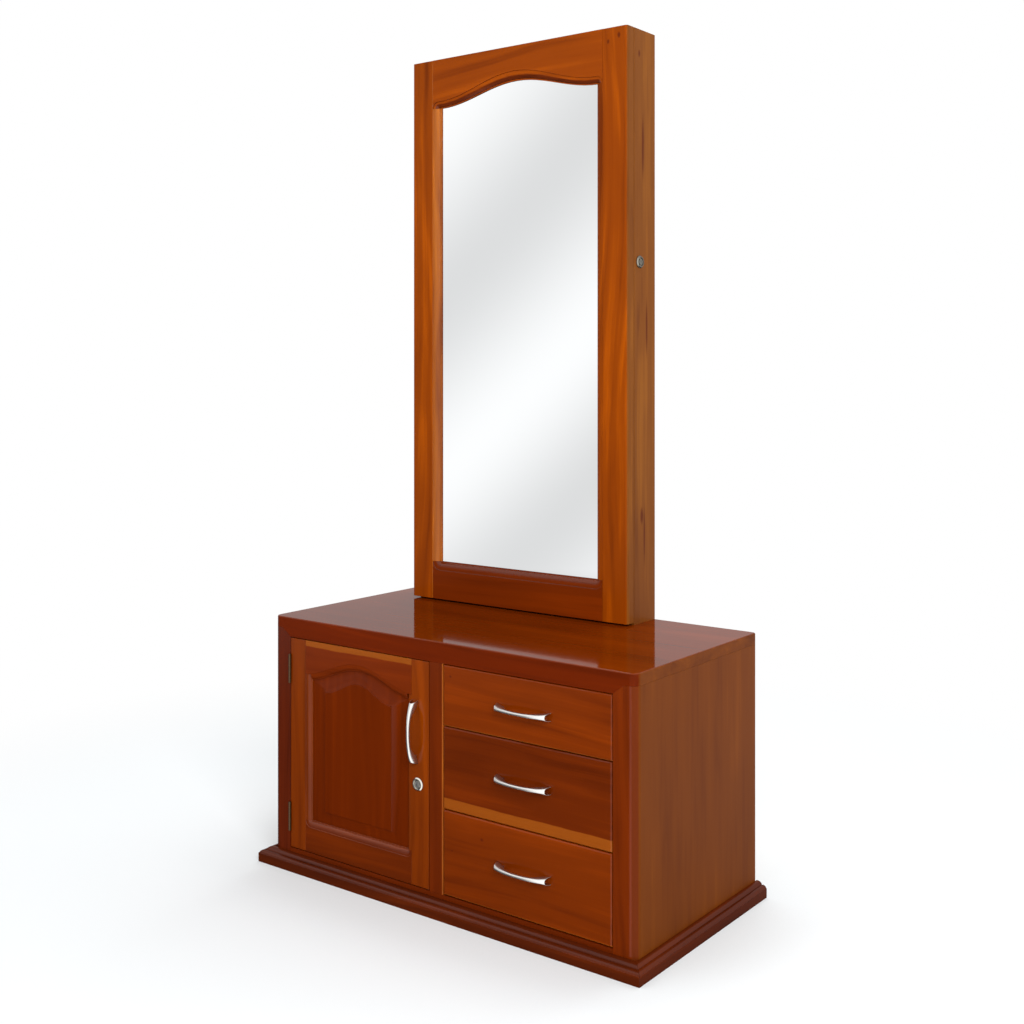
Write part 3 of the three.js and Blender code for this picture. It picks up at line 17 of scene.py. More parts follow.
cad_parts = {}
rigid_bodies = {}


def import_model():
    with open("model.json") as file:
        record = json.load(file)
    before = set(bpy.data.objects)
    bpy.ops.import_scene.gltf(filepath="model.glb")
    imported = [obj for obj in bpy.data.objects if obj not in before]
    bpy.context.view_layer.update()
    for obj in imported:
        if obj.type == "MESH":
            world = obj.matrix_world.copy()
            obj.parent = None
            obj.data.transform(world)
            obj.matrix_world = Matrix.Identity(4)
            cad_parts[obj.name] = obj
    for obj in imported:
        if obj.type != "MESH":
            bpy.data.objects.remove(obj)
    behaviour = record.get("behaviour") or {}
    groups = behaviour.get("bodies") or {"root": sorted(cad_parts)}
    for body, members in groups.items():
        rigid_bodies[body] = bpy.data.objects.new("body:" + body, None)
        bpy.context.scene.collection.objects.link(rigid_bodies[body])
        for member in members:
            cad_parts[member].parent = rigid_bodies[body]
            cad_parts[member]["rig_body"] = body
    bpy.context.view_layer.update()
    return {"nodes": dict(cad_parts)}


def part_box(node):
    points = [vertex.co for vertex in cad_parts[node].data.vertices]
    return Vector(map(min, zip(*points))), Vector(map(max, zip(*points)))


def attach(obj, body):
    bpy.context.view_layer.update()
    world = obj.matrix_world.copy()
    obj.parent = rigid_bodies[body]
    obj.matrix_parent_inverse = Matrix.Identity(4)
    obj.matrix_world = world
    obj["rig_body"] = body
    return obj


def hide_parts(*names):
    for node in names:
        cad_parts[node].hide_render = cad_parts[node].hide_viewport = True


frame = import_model()
nodes = frame["nodes"]
MM = 0.001


def add_object(name, data):
    made = bpy.data.objects.new(name, data)
    bpy.context.scene.collection.objects.link(made)
    return made


print("boards and fittings:", len(nodes))

# %% [markdown]
# ## The camera
# The verticals of the furniture are parallel in the picture, so the camera is level and the frame is
# shifted down, as with a view camera. Turning the camera down instead would make the sides lean.

# %% Place the camera
SENSOR_WIDTH = 36
FOCAL_SHARE = 1.28095
CAMERA_PLACE = (1.6366, -2.1250, 1.0409)
CAMERA_TURN = 0.6498
FRAME_SHIFT = -0.139

camera = add_object("camera", bpy.data.cameras.new("camera"))
camera.data.sensor_width = SENSOR_WIDTH
camera.data.lens = FOCAL_SHARE * SENSOR_WIDTH
camera.data.shift_y = FRAME_SHIFT
camera.location = CAMERA_PLACE
camera.rotation_euler = (math.pi / 2, 0, CAMERA_TURN)
bpy.context.scene.camera = camera
print("lens, mm:", round(camera.data.lens, 1))

# %% [markdown]
# ## Light and background
# A plain world light and large soft lamps show the colours as they are. The background is white only for
# what the camera sees directly. What the gloss sees is graded: soft slanting bands of white and grey in
# front of the mirror, a dark studio below them, a bright wall with a darker floor behind the furniture, and
# two soft boxes, one at the right and one overhead, which draw the bright lines along mouldings and arrises.

# %% Build the world
bpy.context.scene.view_settings.view_transform = "Standard"


class Tree:
    """Adds nodes to a node tree and joins them in one line each."""

    def __init__(self, tree):
        self.tree = tree

    def node(self, kind, values=None, **settings):
        made = self.tree.nodes.new(kind)
        for name, value in settings.items():
            setattr(made, name, value)
        for name, value in (values or {}).items():
            if isinstance(value, bpy.types.NodeSocket):
                self.tree.links.new(value, made.inputs[name])
            else:
                made.inputs[name].default_value = value
        return made

    def math(self, operation, first, second=0.0):
        return self.node("ShaderNodeMath", {0: first, 1: second}, operation=operation).outputs[0]

    def ranged(self, value, start, end, low=0.0, high=1.0, smooth=False):
        """Low up to start, high from end on, and a slope between them."""
        return self.node("ShaderNodeMapRange", {
            "Value": value, "From Min": start, "From Max": end, "To Min": low, "To Max": high,
        }, interpolation_type="SMOOTHSTEP" if smooth else "LINEAR").outputs[0]

    def noise(self, vector, stretch, detail, roughness=0.5):
        stretched = self.node("ShaderNodeVectorMath", {0: vector, 1: stretch}, operation="MULTIPLY").outputs[0]
        return self.node("ShaderNodeTexNoise", {
            "Vector": stretched, "Scale": 1.0, "Detail": detail, "Roughness": roughness,
        }).outputs["Fac"]

    def ramp(self, factor, stops):
        made = self.node("ShaderNodeValToRGB", {"Fac": factor})
        made.color_ramp.interpolation = "EASE"
        elements = made.color_ramp.elements
        while len(elements) < len(stops):
            elements.new(0.5)
        for element, (place, colour) in zip(elements, stops):
            element.position = place
            element.color = colour
        return made.outputs["Color"]

    def mix(self, factor, first, second):
        made = self.node("ShaderNodeMix", data_type="RGBA", clamp_factor=True)
        for index, value in ((0, factor), (6, first), (7, second)):
            if isinstance(value, bpy.types.NodeSocket):
                self.tree.links.new(value, made.inputs[index])
            else:
                made.inputs[index].default_value = value
        return made.outputs[2]


def grey(level):
    return (level, level, level, 1)


def blank_material(name):
    """New material with an empty tree, and the tree."""
    finish = bpy.data.materials.new(name)
    finish.use_nodes = True
    finish.node_tree.nodes.clear()
    return finish, Tree(finish.node_tree)


WHITE = grey(1)
AMBIENT = 0.50
WALL_GREY = 0.92
REAR_BLEND = 0.2
SLANT = 1.26
SLANT_MIDDLE = 0.605
BAND_REACH = 0.5
# Place across the slant, and the level there
MIRROR_BANDS = [
    (-0.50, 0.95), (-0.29, 1.0), (-0.155, 0.745), (-0.03, 1.02), (0.107, 0.75), (0.235, 1.03), (0.50, 0.95),
]
# Where along Z the floor's level ends and where the wall or the bands begin, and the floor's level
FRONT_FLOOR = (-0.24, -0.15, 0.11)
REAR_FLOOR = (-0.375, -0.325, 0.22)
# Where along X or Z the soft box begins and where it has its full level, and that level
RIGHT_BOX = (-0.40, -0.16, 1.9)
CEILING_BOX = (0.36, 0.60, 1.8)


def build_world():
    world = bpy.data.worlds.new("studio")
    world.use_nodes = True
    world.node_tree.nodes.clear()
    tree = Tree(world.node_tree)
    rays = tree.node("ShaderNodeLightPath").outputs
    direction = tree.node("ShaderNodeTexCoord").outputs["Generated"]
    parts = tree.node("ShaderNodeSeparateXYZ", {"Vector": direction}).outputs
    across = tree.math("MULTIPLY", tree.math("ADD", parts["X"], SLANT_MIDDLE), SLANT)
    slanted = tree.math("SUBTRACT", parts["Z"], across)
    share = tree.math("ADD", slanted, BAND_REACH)
    front = tree.ramp(share, [(place + BAND_REACH, grey(level)) for place, level in MIRROR_BANDS])
    start, end, level = FRONT_FLOOR
    front = tree.mix(tree.ranged(parts["Z"], start, end), grey(level), front)
    for part, (start, end, level) in (("X", RIGHT_BOX), ("Z", CEILING_BOX)):
        front = tree.mix(tree.ranged(parts[part], start, end), front, grey(level))
    start, end, level = REAR_FLOOR
    rear = tree.mix(tree.ranged(parts["Z"], start, end), grey(level), grey(WALL_GREY))
    gloss = tree.mix(tree.ranged(parts["Y"], -REAR_BLEND, REAR_BLEND), front, rear)
    unseen = tree.mix(rays["Is Glossy Ray"], grey(AMBIENT), gloss)
    colour = tree.mix(rays["Is Camera Ray"], unseen, WHITE)
    shade = tree.node("ShaderNodeBackground", {"Color": colour, "Strength": 1.0})
    tree.node("ShaderNodeOutputWorld", {"Surface": shade.outputs[0]})
    bpy.context.scene.world = world


build_world()
print("mirror bands:", len(MIRROR_BANDS))

# %% Hang the lamps
LAMP_AIM = (0, 0, 0.75)
# Place, size and power
LAMPS = {
    "key": ((2.6, -2.3, 2.2), 1.6, 95),
    "fill": ((-1.9, -3.0, 2.6), 2.4, 26),
    "top": ((0.1, 1.5, 3.3), 2.4, 46),
}


def hang_lamp(name, place, size, power):
    lamp = bpy.data.lights.new(name, "AREA")
    lamp.energy = power
    lamp.size = size
    holder = add_object(name, lamp)
    holder.location = place
    aim = Vector(LAMP_AIM) - holder.location
    holder.rotation_euler = aim.to_track_quat("-Z", "Y").to_euler()
    holder.visible_glossy = False


for lamp_name, (lamp_place, lamp_size, lamp_power) in LAMPS.items():
    hang_lamp(lamp_name, lamp_place, lamp_size, lamp_power)
print("lamps:", ", ".join(LAMPS))

# %% [markdown]
# The floor is white paper that takes a soft shadow near the furniture and fades into the white background
# further out. Close to the plinth, where little light gets in, ambient occlusion darkens its paint: painted
# shade on top of the shadow that the lamps cast.

# %% Lay the floor
FLOOR_HALF = 9.0
FLOOR_GLOW = 0.24
FLOOR_PAINT = (0.745, 0.775, 0.79, 1)
PAINTED_CONTACT_SHADE = (0.60, 0.63, 0.64, 1)
CONTACT_REACH = 0.26
CONTACT_SAMPLES = 4
HALF_COVERED = 0.5
FADE = (1.0, 2.0)


def floor_finish():
    finish, tree = blank_material("studio_floor")
    rays = tree.node("ShaderNodeLightPath").outputs
    covered = tree.node("ShaderNodeAmbientOcclusion", {"Distance": CONTACT_REACH}, samples=CONTACT_SAMPLES)
    clear = tree.ranged(covered.outputs["AO"], HALF_COVERED, 1.0)
    # The paint turns to the darker colour where ambient occlusion finds the plinth close by: painted shade
    paint = tree.node("ShaderNodeBsdfDiffuse", {"Color": tree.mix(clear, PAINTED_CONTACT_SHADE, FLOOR_PAINT)})
    glow = tree.node("ShaderNodeEmission", {"Color": WHITE, "Strength": FLOOR_GLOW})
    both = tree.node("ShaderNodeAddShader", {0: paint.outputs[0], 1: glow.outputs[0]})
    place = tree.node("ShaderNodeTexCoord").outputs["Object"]
    distance = tree.node("ShaderNodeVectorMath", {0: place}, operation="LENGTH").outputs["Value"]
    far = tree.ranged(distance, *FADE, smooth=True)
    white = tree.node("ShaderNodeEmission", {"Color": WHITE, "Strength": 1.0})
    faded = tree.node("ShaderNodeMixShader", {0: far, 1: both.outputs[0], 2: white.outputs[0]})
    shown = tree.node("ShaderNodeMixShader", {
        0: rays["Is Camera Ray"], 1: paint.outputs[0], 2: faded.outputs[0],
    })
    tree.node("ShaderNodeOutputMaterial", {"Surface": shown.outputs[0]})
    return finish


def lay_floor():
    half = FLOOR_HALF
    mesh = bpy.data.meshes.new("floor")
    corners = [(-half, -half, 0), (half, -half, 0), (half, half, 0), (-half, half, 0)]
    mesh.from_pydata(corners, [], [(0, 1, 2, 3)])
    mesh.materials.append(floor_finish())
    floor = add_object("floor", mesh)
    floor.visible_glossy = False


lay_floor()
print("floor, m:", 2 * FLOOR_HALF)

# %% [markdown]
# ## Timber
# Every board is cut from another part of the tree, so no two may share their grain. One node group draws
# the timber along its own Z: broad clouds, narrow streaks, growth rings and fine fibres. A Mapping node
# in each material turns that Z along the board and moves it to a place of its own.

# %% Draw the grain
# Each layer's stretch across and along the board, and how much it adds to the tone
DRIFT_STRETCH, DRIFT_REACH = (3.5, 3.5, 0.8), 0.16
BROAD_STRETCH, BROAD_WEIGHT = (20, 20, 2.4), 1.0
STREAK_STRETCH, STREAK_WEIGHT = (120, 120, 2.4), 0.55
FIBRE_STRETCH, FIBRE_WEIGHT = (620, 620, 14), 0.16
RING_WEIGHT = 0.14
RING_WAVE = {
    "Scale": 11.0, "Distortion": 1.6, "Detail": 2.0, "Detail Scale": 0.5, "Detail Roughness": 0.6,
}
TONE_REACH = 0.32
SOFT_NOISE, CRISP_NOISE = 0.55, 0.6


def timber_group():
    group = bpy.data.node_groups.new("timber", "ShaderNodeTree")
    sides = group.interface
    sides.new_socket("Vector", in_out="INPUT", socket_type="NodeSocketVector")
    for tint in ("Dark", "Middle", "Light"):
        sides.new_socket(tint, in_out="INPUT", socket_type="NodeSocketColor")
    sides.new_socket("Color", in_out="OUTPUT", socket_type="NodeSocketColor")
    sides.new_socket("Height", in_out="OUTPUT", socket_type="NodeSocketFloat")
    tree = Tree(group)
    given = tree.node("NodeGroupInput").outputs

    def centred(value, weight):
        return tree.math("MULTIPLY", tree.math("SUBTRACT", value, 0.5), weight)

    drift = tree.noise(given["Vector"], DRIFT_STRETCH, 2.0, SOFT_NOISE)
    offset = tree.node("ShaderNodeCombineXYZ", {"X": centred(drift, DRIFT_REACH)}).outputs[0]
    shifted = tree.node("ShaderNodeVectorMath", {0: given["Vector"], 1: offset}, operation="ADD")
    bent = shifted.outputs[0]
    rings = tree.node(
        "ShaderNodeTexWave", {"Vector": bent, **RING_WAVE},
        wave_type="BANDS", bands_direction="X", wave_profile="SIN",
    ).outputs["Fac"]
    broad = tree.noise(bent, BROAD_STRETCH, 2.0, SOFT_NOISE)
    streak = tree.noise(bent, STREAK_STRETCH, 3.0, CRISP_NOISE)
    fibre = tree.noise(given["Vector"], FIBRE_STRETCH, 2.0, CRISP_NOISE)
    tone = tree.math("ADD", centred(broad, BROAD_WEIGHT), centred(streak, STREAK_WEIGHT))
    tone = tree.math("ADD", tone, centred(rings, RING_WEIGHT))
    tone = tree.math("ADD", tone, centred(fibre, FIBRE_WEIGHT))
    colour = tree.mix(tree.ranged(tone, -TONE_REACH, 0.0, smooth=True), given["Dark"], given["Middle"])
    colour = tree.mix(tree.ranged(tone, 0.0, TONE_REACH, smooth=True), colour, given["Light"])
    height = tree.math("ADD", tree.math("MULTIPLY", streak, 0.5), tree.math("MULTIPLY", fibre, 0.5))
    tree.node("NodeGroupOutput", {"Color": colour, "Height": height})
    return group


TIMBER = timber_group()
print("grain group nodes:", len(TIMBER.nodes))

# %% [markdown]
# Lacquer is a clear coat over the wood, so the Principled shader's coat makes the gloss and the wood
# below stays fairly rough. Colours are written as they look in daylight and turned to linear values here.

# %% Mix the timber finishes
def daylight(red, green, blue):
    """Linear colour of a colour written in the 0 to 255 steps of a screen."""
    def linear(step):
        share = step / 255
        return share / 12.92 if share <= 0.04045 else ((share + 0.055) / 1.055) ** 2.4
    return (linear(red), linear(green), linear(blue), 1)


# The turn that lays the grain's Z along each axis of a board
GRAIN_TURNS = {"x": (0, math.pi / 2, 0), "y": (math.pi / 2, 0, 0), "z": (0, 0, 0)}
LACQUER_INPUTS = ("Roughness", "Specular IOR Level", "Coat Weight", "Coat Roughness")
LACQUERS = {
    "front": (0.45, 0.0, 0.30, 0.13),
    "thin": (0.45, 0.0, 0.17, 0.12),
    "dull": (0.45, 0.02, 0.05, 0.16),
    "side": (0.45, 0.04, 0.065, 0.15),
    "moulded": (0.40, 0.0, 0.45, 0.16),
    "mirror_gloss": (0.35, 0.0, 0.47, 0.06),
    "bare": (0.68, 0.3, 0.0, 0.3),
}
COAT_INDEX = 1.5
# Middle colour, how far the grain swings from it, and the lacquer
TIMBERS = {
    "tower_front": ((145, 62, 1), 0.22, "dull"),
    "tower_rail_top": ((147, 63, 3), 0.13, "dull"),
    "tower_rail": ((116, 41, 1), 0.12, "dull"),
    # Paler than the frame, standing in for the sheen along the mirror frame's left moulding: a painted
    # highlight
    "tower_moulding_painted_highlight": ((168, 88, 16), 0.20, "moulded"),
    "tower_side": ((130, 73, 25), 0.14, "side"),
    "top_edge": ((104, 31, 1), 0.12, "dull"),
    # Darker than the rails, standing in for the shade on the mirror rails' mouldings: painted shade
    "wave_moulding_painted_shade": ((104, 38, 5), 0.22, "moulded"),
    # Paler than the rail, standing in for the highlights on the door's bottom-rail moulding: a painted
    # highlight
    "rail_moulding_painted_highlight": ((122, 50, 14), 0.22, "moulded"),
    "corner": ((106, 42, 12), 0.10, "dull"),
    # Pale strip along an arris that catches the light: a painted highlight
    "painted_arris_highlight": ((176, 92, 30), 0.12, "front"),
    "frame_dark": ((90, 28, 5), 0.18, "front"),
    "frame": ((105, 35, 1), 0.14, "front"),
    "frame_bright": ((117, 41, 1), 0.16, "front"),
    "cabinet_side": ((115, 56, 10), 0.10, "side"),
    "stile": ((127, 50, 1), 0.15, "front"),
    "rail": ((104, 36, 1), 0.14, "front"),
    "rail_top": ((117, 40, 1), 0.12, "front"),
    "panel": ((105, 34, 0), 0.10, "thin"),
    "drawer": ((122, 45, 1), 0.15, "front"),
    "drawer_dark": ((105, 36, 1), 0.16, "front"),
    "top_board": ((116, 43, 1), 0.10, "mirror_gloss"),
    "plinth": ((84, 29, 5), 0.20, "front"),
    "drawer_box": ((178, 136, 90), 0.12, "bare"),
    "plywood": ((164, 122, 80), 0.12, "bare"),
}
GREEN_SWING = 1.35
SAPWOOD = (daylight(142, 64, 8), daylight(160, 84, 20))
# A knot is darkest up to this share of its radius, and this strong there
KNOT_COLOUR = daylight(88, 30, 8)
KNOT_HEART = 0.3
KNOT_DEPTH = 0.8
BAND_STRETCH = (9, 0, 0)
GRAIN_BUMP = {"Strength": 0.04, "Distance": 0.0005}
# The normal's Y where a moulding's painted highlight and painted shade begin to show and where they show fully
PAINTED_MOULDING_LEAN = (-0.985, -0.93)
FACE_BLEND = 0.0012
BOARD_SPREAD = 40
board_places = random.Random(7)


def swung(colour, share):
    red, green, blue = colour
    return daylight(red * (1 + share), green * (1 + share * GREEN_SWING), blue * (1 + share))


def lacquered_wood(tree, place, kind, grain, paint=None):
    """Shader of one kind of timber, with its grain at a place of its own."""
    middle, swing, lacquer = TIMBERS[kind]
    turned = tree.node("ShaderNodeMapping", {
        "Vector": place,
        "Location": tuple(board_places.uniform(0, BOARD_SPREAD) for _ in range(3)),
        "Rotation": GRAIN_TURNS[grain],
    }).outputs[0]
    grown = tree.node("ShaderNodeGroup", node_tree=TIMBER)
    tree.tree.links.new(turned, grown.inputs["Vector"])
    for socket, share in (("Dark", -swing), ("Middle", 0), ("Light", swing)):
        grown.inputs[socket].default_value = swung(middle, share)
    height = grown.outputs["Height"]
    colour = paint(grown.outputs["Color"], height) if paint else grown.outputs["Color"]
    bump = tree.node("ShaderNodeBump", {"Height": height, **GRAIN_BUMP})
    shader = tree.node("ShaderNodeBsdfPrincipled", {
        "Base Color": colour, "Normal": bump.outputs[0], "Coat IOR": COAT_INDEX,
        **dict(zip(LACQUER_INPUTS, LACQUERS[lacquer])),
    })
    return shader.outputs[0]


def between(tree, value, start, end):
    """1 where the value lies from start to end, falling softly to 0 outside."""
    rising = tree.ranged(value, start - FACE_BLEND, start + FACE_BLEND, smooth=True)
    falling = tree.ranged(value, end - FACE_BLEND, end + FACE_BLEND, 1.0, 0.0, smooth=True)
    return tree.math("MULTIPLY", rising, falling)


def knotted(tree, parts, colour, knot):
    axis, middle, z, radius, shortening = knot
    across = tree.math("SUBTRACT", parts[axis], middle)
    along = tree.math("MULTIPLY", tree.math("SUBTRACT", parts["Z"], z), shortening)
    squares = tree.math("ADD", tree.math("MULTIPLY", across, across), tree.math("MULTIPLY", along, along))
    distance = tree.math("SQRT", squares)
    mask = tree.ranged(distance, radius * KNOT_HEART, radius, KNOT_DEPTH, 0.0, smooth=True)
    return tree.mix(mask, colour, KNOT_COLOUR)


def sapwood_band(tree, place, level, colour, height, band):
    low, high, waviness = band
    wave = tree.noise(place, BAND_STRETCH, 2.0)
    edge = tree.math("ADD", level, tree.math("MULTIPLY", tree.math("SUBTRACT", wave, 0.5), waviness))
    pale = tree.mix(height, *SAPWOOD)
    return tree.mix(between(tree, edge, low, high), colour, pale)


def timber(name, kind, grain, band=None, knots=(), faces=(), moulding=None):
    """Material of one board.

    band is (from z, to z, waviness) of a stripe of pale sapwood, knots are (axis, place on it, z, radius,
    shortening along z), faces are (axis, from, to, kind) where another timber shows, such as the end of the
    board, and strips that carry a painted highlight, and moulding is the kind, whose colour holds painted light
    and shade, that shows on what leans away from the front.
    """
    finish, tree = blank_material(name)
    coordinates = tree.node("ShaderNodeTexCoord").outputs
    place = coordinates["Object"]
    parts = tree.node("ShaderNodeSeparateXYZ", {"Vector": place}).outputs

    def paint(colour, height):
        if band:
            colour = sapwood_band(tree, place, parts["Z"], colour, height, band)
        for knot in knots:
            colour = knotted(tree, parts, colour, knot)
        return colour

    shader = lacquered_wood(tree, place, kind, grain, paint)
    # A moulding's own kind, whose colour holds painted light and shade, shows on faces that lean away from the
    # front
    if moulding:
        facing = tree.node("ShaderNodeSeparateXYZ", {"Vector": coordinates["Normal"]}).outputs["Y"]
        mask = tree.ranged(facing, *PAINTED_MOULDING_LEAN)
        painted_moulding = lacquered_wood(tree, place, moulding, grain)
        shader = tree.node("ShaderNodeMixShader", {0: mask, 1: shader, 2: painted_moulding}).outputs[0]
    for axis, start, end, other in faces:
        mask = between(tree, parts[axis], start, end)
        over = lacquered_wood(tree, place, other, grain)
        shader = tree.node("ShaderNodeMixShader", {0: mask, 1: shader, 2: over}).outputs[0]
    tree.node("ShaderNodeOutputMaterial", {"Surface": shader})
    return finish


print("timbers:", ", ".join(TIMBERS))

# %% [markdown]
# ## Softened boards
# A planed board has small rounded arrises that catch the light, and a solid from the drawing has none.
# Each solid is copied, its triangles are merged back into flat faces, and a Bevel modifier rounds what is
# still sharp. Where two boards are glued flush the joiner planes them together, so an edge gets hardly any
# rounding there. Weighted normals keep the wide faces flat, so that their reflections stay straight.

# %% Round the arrises of a board
SHARP = math.radians(32)
FLAT = math.radians(0.6)
SAME_PLACE = 0.005 * MM
BEVEL_SEGMENTS = 2
GLUED_SHARE = 0.12
PROBE_OUT = 1.2 * MM
PROBE_IN = 0.4 * MM
PROBE_REACH = 4 * MM


def body_of(node):
    return nodes[node]["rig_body"]


def solid_tree(node):
    mesh = nodes[node].data
    places = [vertex.co for vertex in mesh.vertices]
    return BVHTree.FromPolygons(places, [face.vertices for face in mesh.polygons])


solid_trees = {name: solid_tree(name) for name in nodes}


def in_solid(tree, point):
    place, normal, _, _ = tree.find_nearest(point, PROBE_REACH)
    return place is not None and (point - place).dot(normal) < 0


def is_glued(edge, neighbours):
    """Whether the next board carries on flush from one of the two faces of an edge."""
    middle = (edge.verts[0].co + edge.verts[1].co) / 2
    for loop in edge.link_loops:
        along = loop.link_loop_next.vert.co - loop.vert.co
        outwards = along.cross(loop.face.normal).normalized()
        point = middle + outwards * PROBE_OUT - loop.face.normal * PROBE_IN
        if any(in_solid(tree, point) for tree in neighbours):
            return True
    return False


def plain_mesh(rough):
    """What an object's modifiers make of it, as a plain mesh; the object itself is removed."""
    graph = bpy.context.evaluated_depsgraph_get()
    mesh = bpy.data.meshes.new_from_object(rough.evaluated_get(graph), depsgraph=graph)
    bpy.data.objects.remove(rough)
    return mesh


def rounded(mesh, radius):
    """The mesh with its weighted edges rounded, as a plain mesh."""
    rough = add_object("rough", mesh)
    bevel = rough.modifiers.new("arris", "BEVEL")
    bevel.width = radius
    bevel.segments = BEVEL_SEGMENTS
    bevel.limit_method = "WEIGHT"
    bevel.use_clamp_overlap = True
    weighted = rough.modifiers.new("flat_faces", "WEIGHTED_NORMAL")
    weighted.keep_sharp = True
    return plain_mesh(rough)


def softened(node, radius):
    """Rounded copy of a solid as a plain mesh."""
    mesh = nodes[node].data.copy()
    mesh.materials.clear()
    work = bmesh.new()
    work.from_mesh(mesh)
    bmesh.ops.remove_doubles(work, verts=work.verts, dist=SAME_PLACE)
    bmesh.ops.dissolve_limit(work, angle_limit=FLAT, verts=work.verts, edges=work.edges)
    for face in work.faces:
        face.smooth = True
    neighbours = [solid_trees[name] for name in nodes if name != node and body_of(name) == body_of(node)]
    weight = work.edges.layers.float.new("bevel_weight_edge")
    for edge in work.edges:
        edge.smooth = edge.is_manifold and edge.calc_face_angle(0) < SHARP
        if not edge.smooth:
            edge[weight] = GLUED_SHARE if is_glued(edge, neighbours) else 1.0
    work.to_mesh(mesh)
    work.free()
    return rounded(mesh, radius)


def place_piece(name, mesh, finish, body):
    """New object of a plain mesh, riding on a body."""
    mesh.materials.clear()
    mesh.materials.append(finish)
    made = add_object(name, mesh)
    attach(made, body)
    return made


def dress(node, finish, radius):
    """Puts the rounded copy with its finish in place of the solid."""
    made = place_piece(node + "_dressed", softened(node, radius), finish, body_of(node))
    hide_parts(node)
    return made


print("solids to probe for glued joints:", len(solid_trees))

# %% [markdown]
# ## Which timber goes where
# Uprights have their grain along Z, rails, drawer fronts and the top along X, and the cabinet's sides
# along Z. The drawer boxes and the backs are plain wood that nobody polished.

# %% Dress the cabinet
# Timber, grain, radius of the arrises in mm, and slot
CABINET_BOARDS = {
    "cabinet_top": ("top_board", "x", 1.0, "top_wood"),
    "cabinet_side_left": ("frame_dark", "z", 0.5, "cabinet_side_wood"),
    "cabinet_side_right": ("frame_bright", "z", 1.2, "cabinet_side_wood"),
    "cabinet_bottom": ("frame", "x", 0.5, "cabinet_wood"),
    "cabinet_partition": ("frame", "z", 0.9, "cabinet_wood"),
    "cabinet_back": ("plywood", "x", 0.3, "plywood"),
    "cabinet_shelf": ("plywood", "x", 0.5, "plywood"),
    "plinth_front": ("plinth", "x", 0.4, "plinth_wood"),
    "plinth_left": ("plinth", "y", 0.4, "plinth_wood"),
    "plinth_right": ("plinth", "y", 0.4, "plinth_wood"),
    "tower_side_left": ("tower_side", "z", 0.9, "tower_side_wood"),
    "tower_side_right": ("tower_side", "z", 0.5, "tower_side_wood"),
    "tower_bottom": ("tower_side", "x", 0.5, "tower_side_wood"),
    "tower_top": ("tower_side", "x", 0.5, "tower_side_wood"),
    "tower_back": ("plywood", "z", 0.3, "plywood"),
    "tower_shelf_lower": ("plywood", "x", 0.5, "plywood"),
    "tower_shelf_upper": ("plywood", "x", 0.5, "plywood"),
}
DOOR_BOARDS = {
    "door_stile_left": ("stile", "z", 0.6, "front_wood"),
    "door_stile_right": ("stile", "z", 0.6, "front_wood"),
    "door_rail_top": ("rail_top", "x", 0.5, "front_wood"),
    "door_rail_bottom": ("rail", "x", 0.5, "front_wood"),
    "door_panel": ("panel", "z", 0.4, "front_wood"),
    "mirror_stile_left": ("tower_front", "z", 0.6, "mirror_frame_wood"),
    "mirror_stile_right": ("tower_front", "z", 0.6, "mirror_frame_wood"),
    "mirror_rail_top": ("tower_rail_top", "x", 0.5, "mirror_frame_wood"),
    "mirror_rail_bottom": ("tower_rail", "x", 0.5, "mirror_frame_wood"),
    "mirror_back_board": ("plywood", "z", 0.4, "plywood"),
}
# Pale stripes, knots, mouldings with painted light and shade, and faces, among them painted highlights, as the
# timber function takes them
BANDS = {
    "door_rail_top": (0.4665, 0.5200, 0.006),
    "drawer_middle_front": (0.1900, 0.2250, 0.005),
}
KNOTS = {
    "mirror_stile_right": [("X", 0.170, 1.712, 0.004, 0.6), ("X", 0.196, 1.722, 0.005, 0.6)],
    "drawer_top_front": [("X", 0.036, 0.458, 0.004, 1.2)],
    "drawer_bottom_front": [("X", 0.112, 0.164, 0.005, 1.2), ("X", 0.040, 0.128, 0.003, 1.2)],
    "tower_side_right": [
        ("Y", 0.190, 1.500, 0.006, 0.07), ("Y", 0.205, 1.130, 0.005, 0.07), ("Y", 0.186, 0.740, 0.008, 0.35),
        ("Y", 0.196, 0.700, 0.004, 0.05), ("Y", 0.176, 1.690, 0.005, 0.5),
    ],
}
# Moulding kinds painted darker as painted shade on the mirror's rails and lighter as a painted highlight on the
# door's bottom rail
MOULDING_PAINTED_LIGHT_AND_SHADE = {
    "mirror_rail_top": "wave_moulding_painted_shade",
    "mirror_rail_bottom": "wave_moulding_painted_shade",
    "door_rail_bottom": "rail_moulding_painted_highlight",
}
FACES = {
    "cabinet_top": [("Z", -1, 0.5186, "top_edge"), ("X", 0.4488, 1, "cabinet_side")],
    "cabinet_side_left": [("X", -1, -0.4488, "cabinet_side")],
    "cabinet_side_right": [("X", 0.4395, 0.4484, "corner"), ("X", 0.4484, 1, "cabinet_side")],
    # Thin strips along the partition's and the drawers' arrises carry a painted highlight
    "cabinet_partition": [("X", 0.0152, 0.0172, "painted_arris_highlight")],
    "drawer_top_front": [("Z", 0.3620, 0.3640, "painted_arris_highlight")],
    "drawer_bottom_front": [("Z", 0.0395, 0.0420, "painted_arris_highlight")],
    # The left stile's moulding strip carries a painted highlight
    "mirror_stile_left": [("X", -1, -0.3610, "tower_side"), ("X", -0.3030, -0.2825, "tower_moulding_painted_highlight")],
    "mirror_stile_right": [("X", 0.2140, 1, "tower_side")],
}

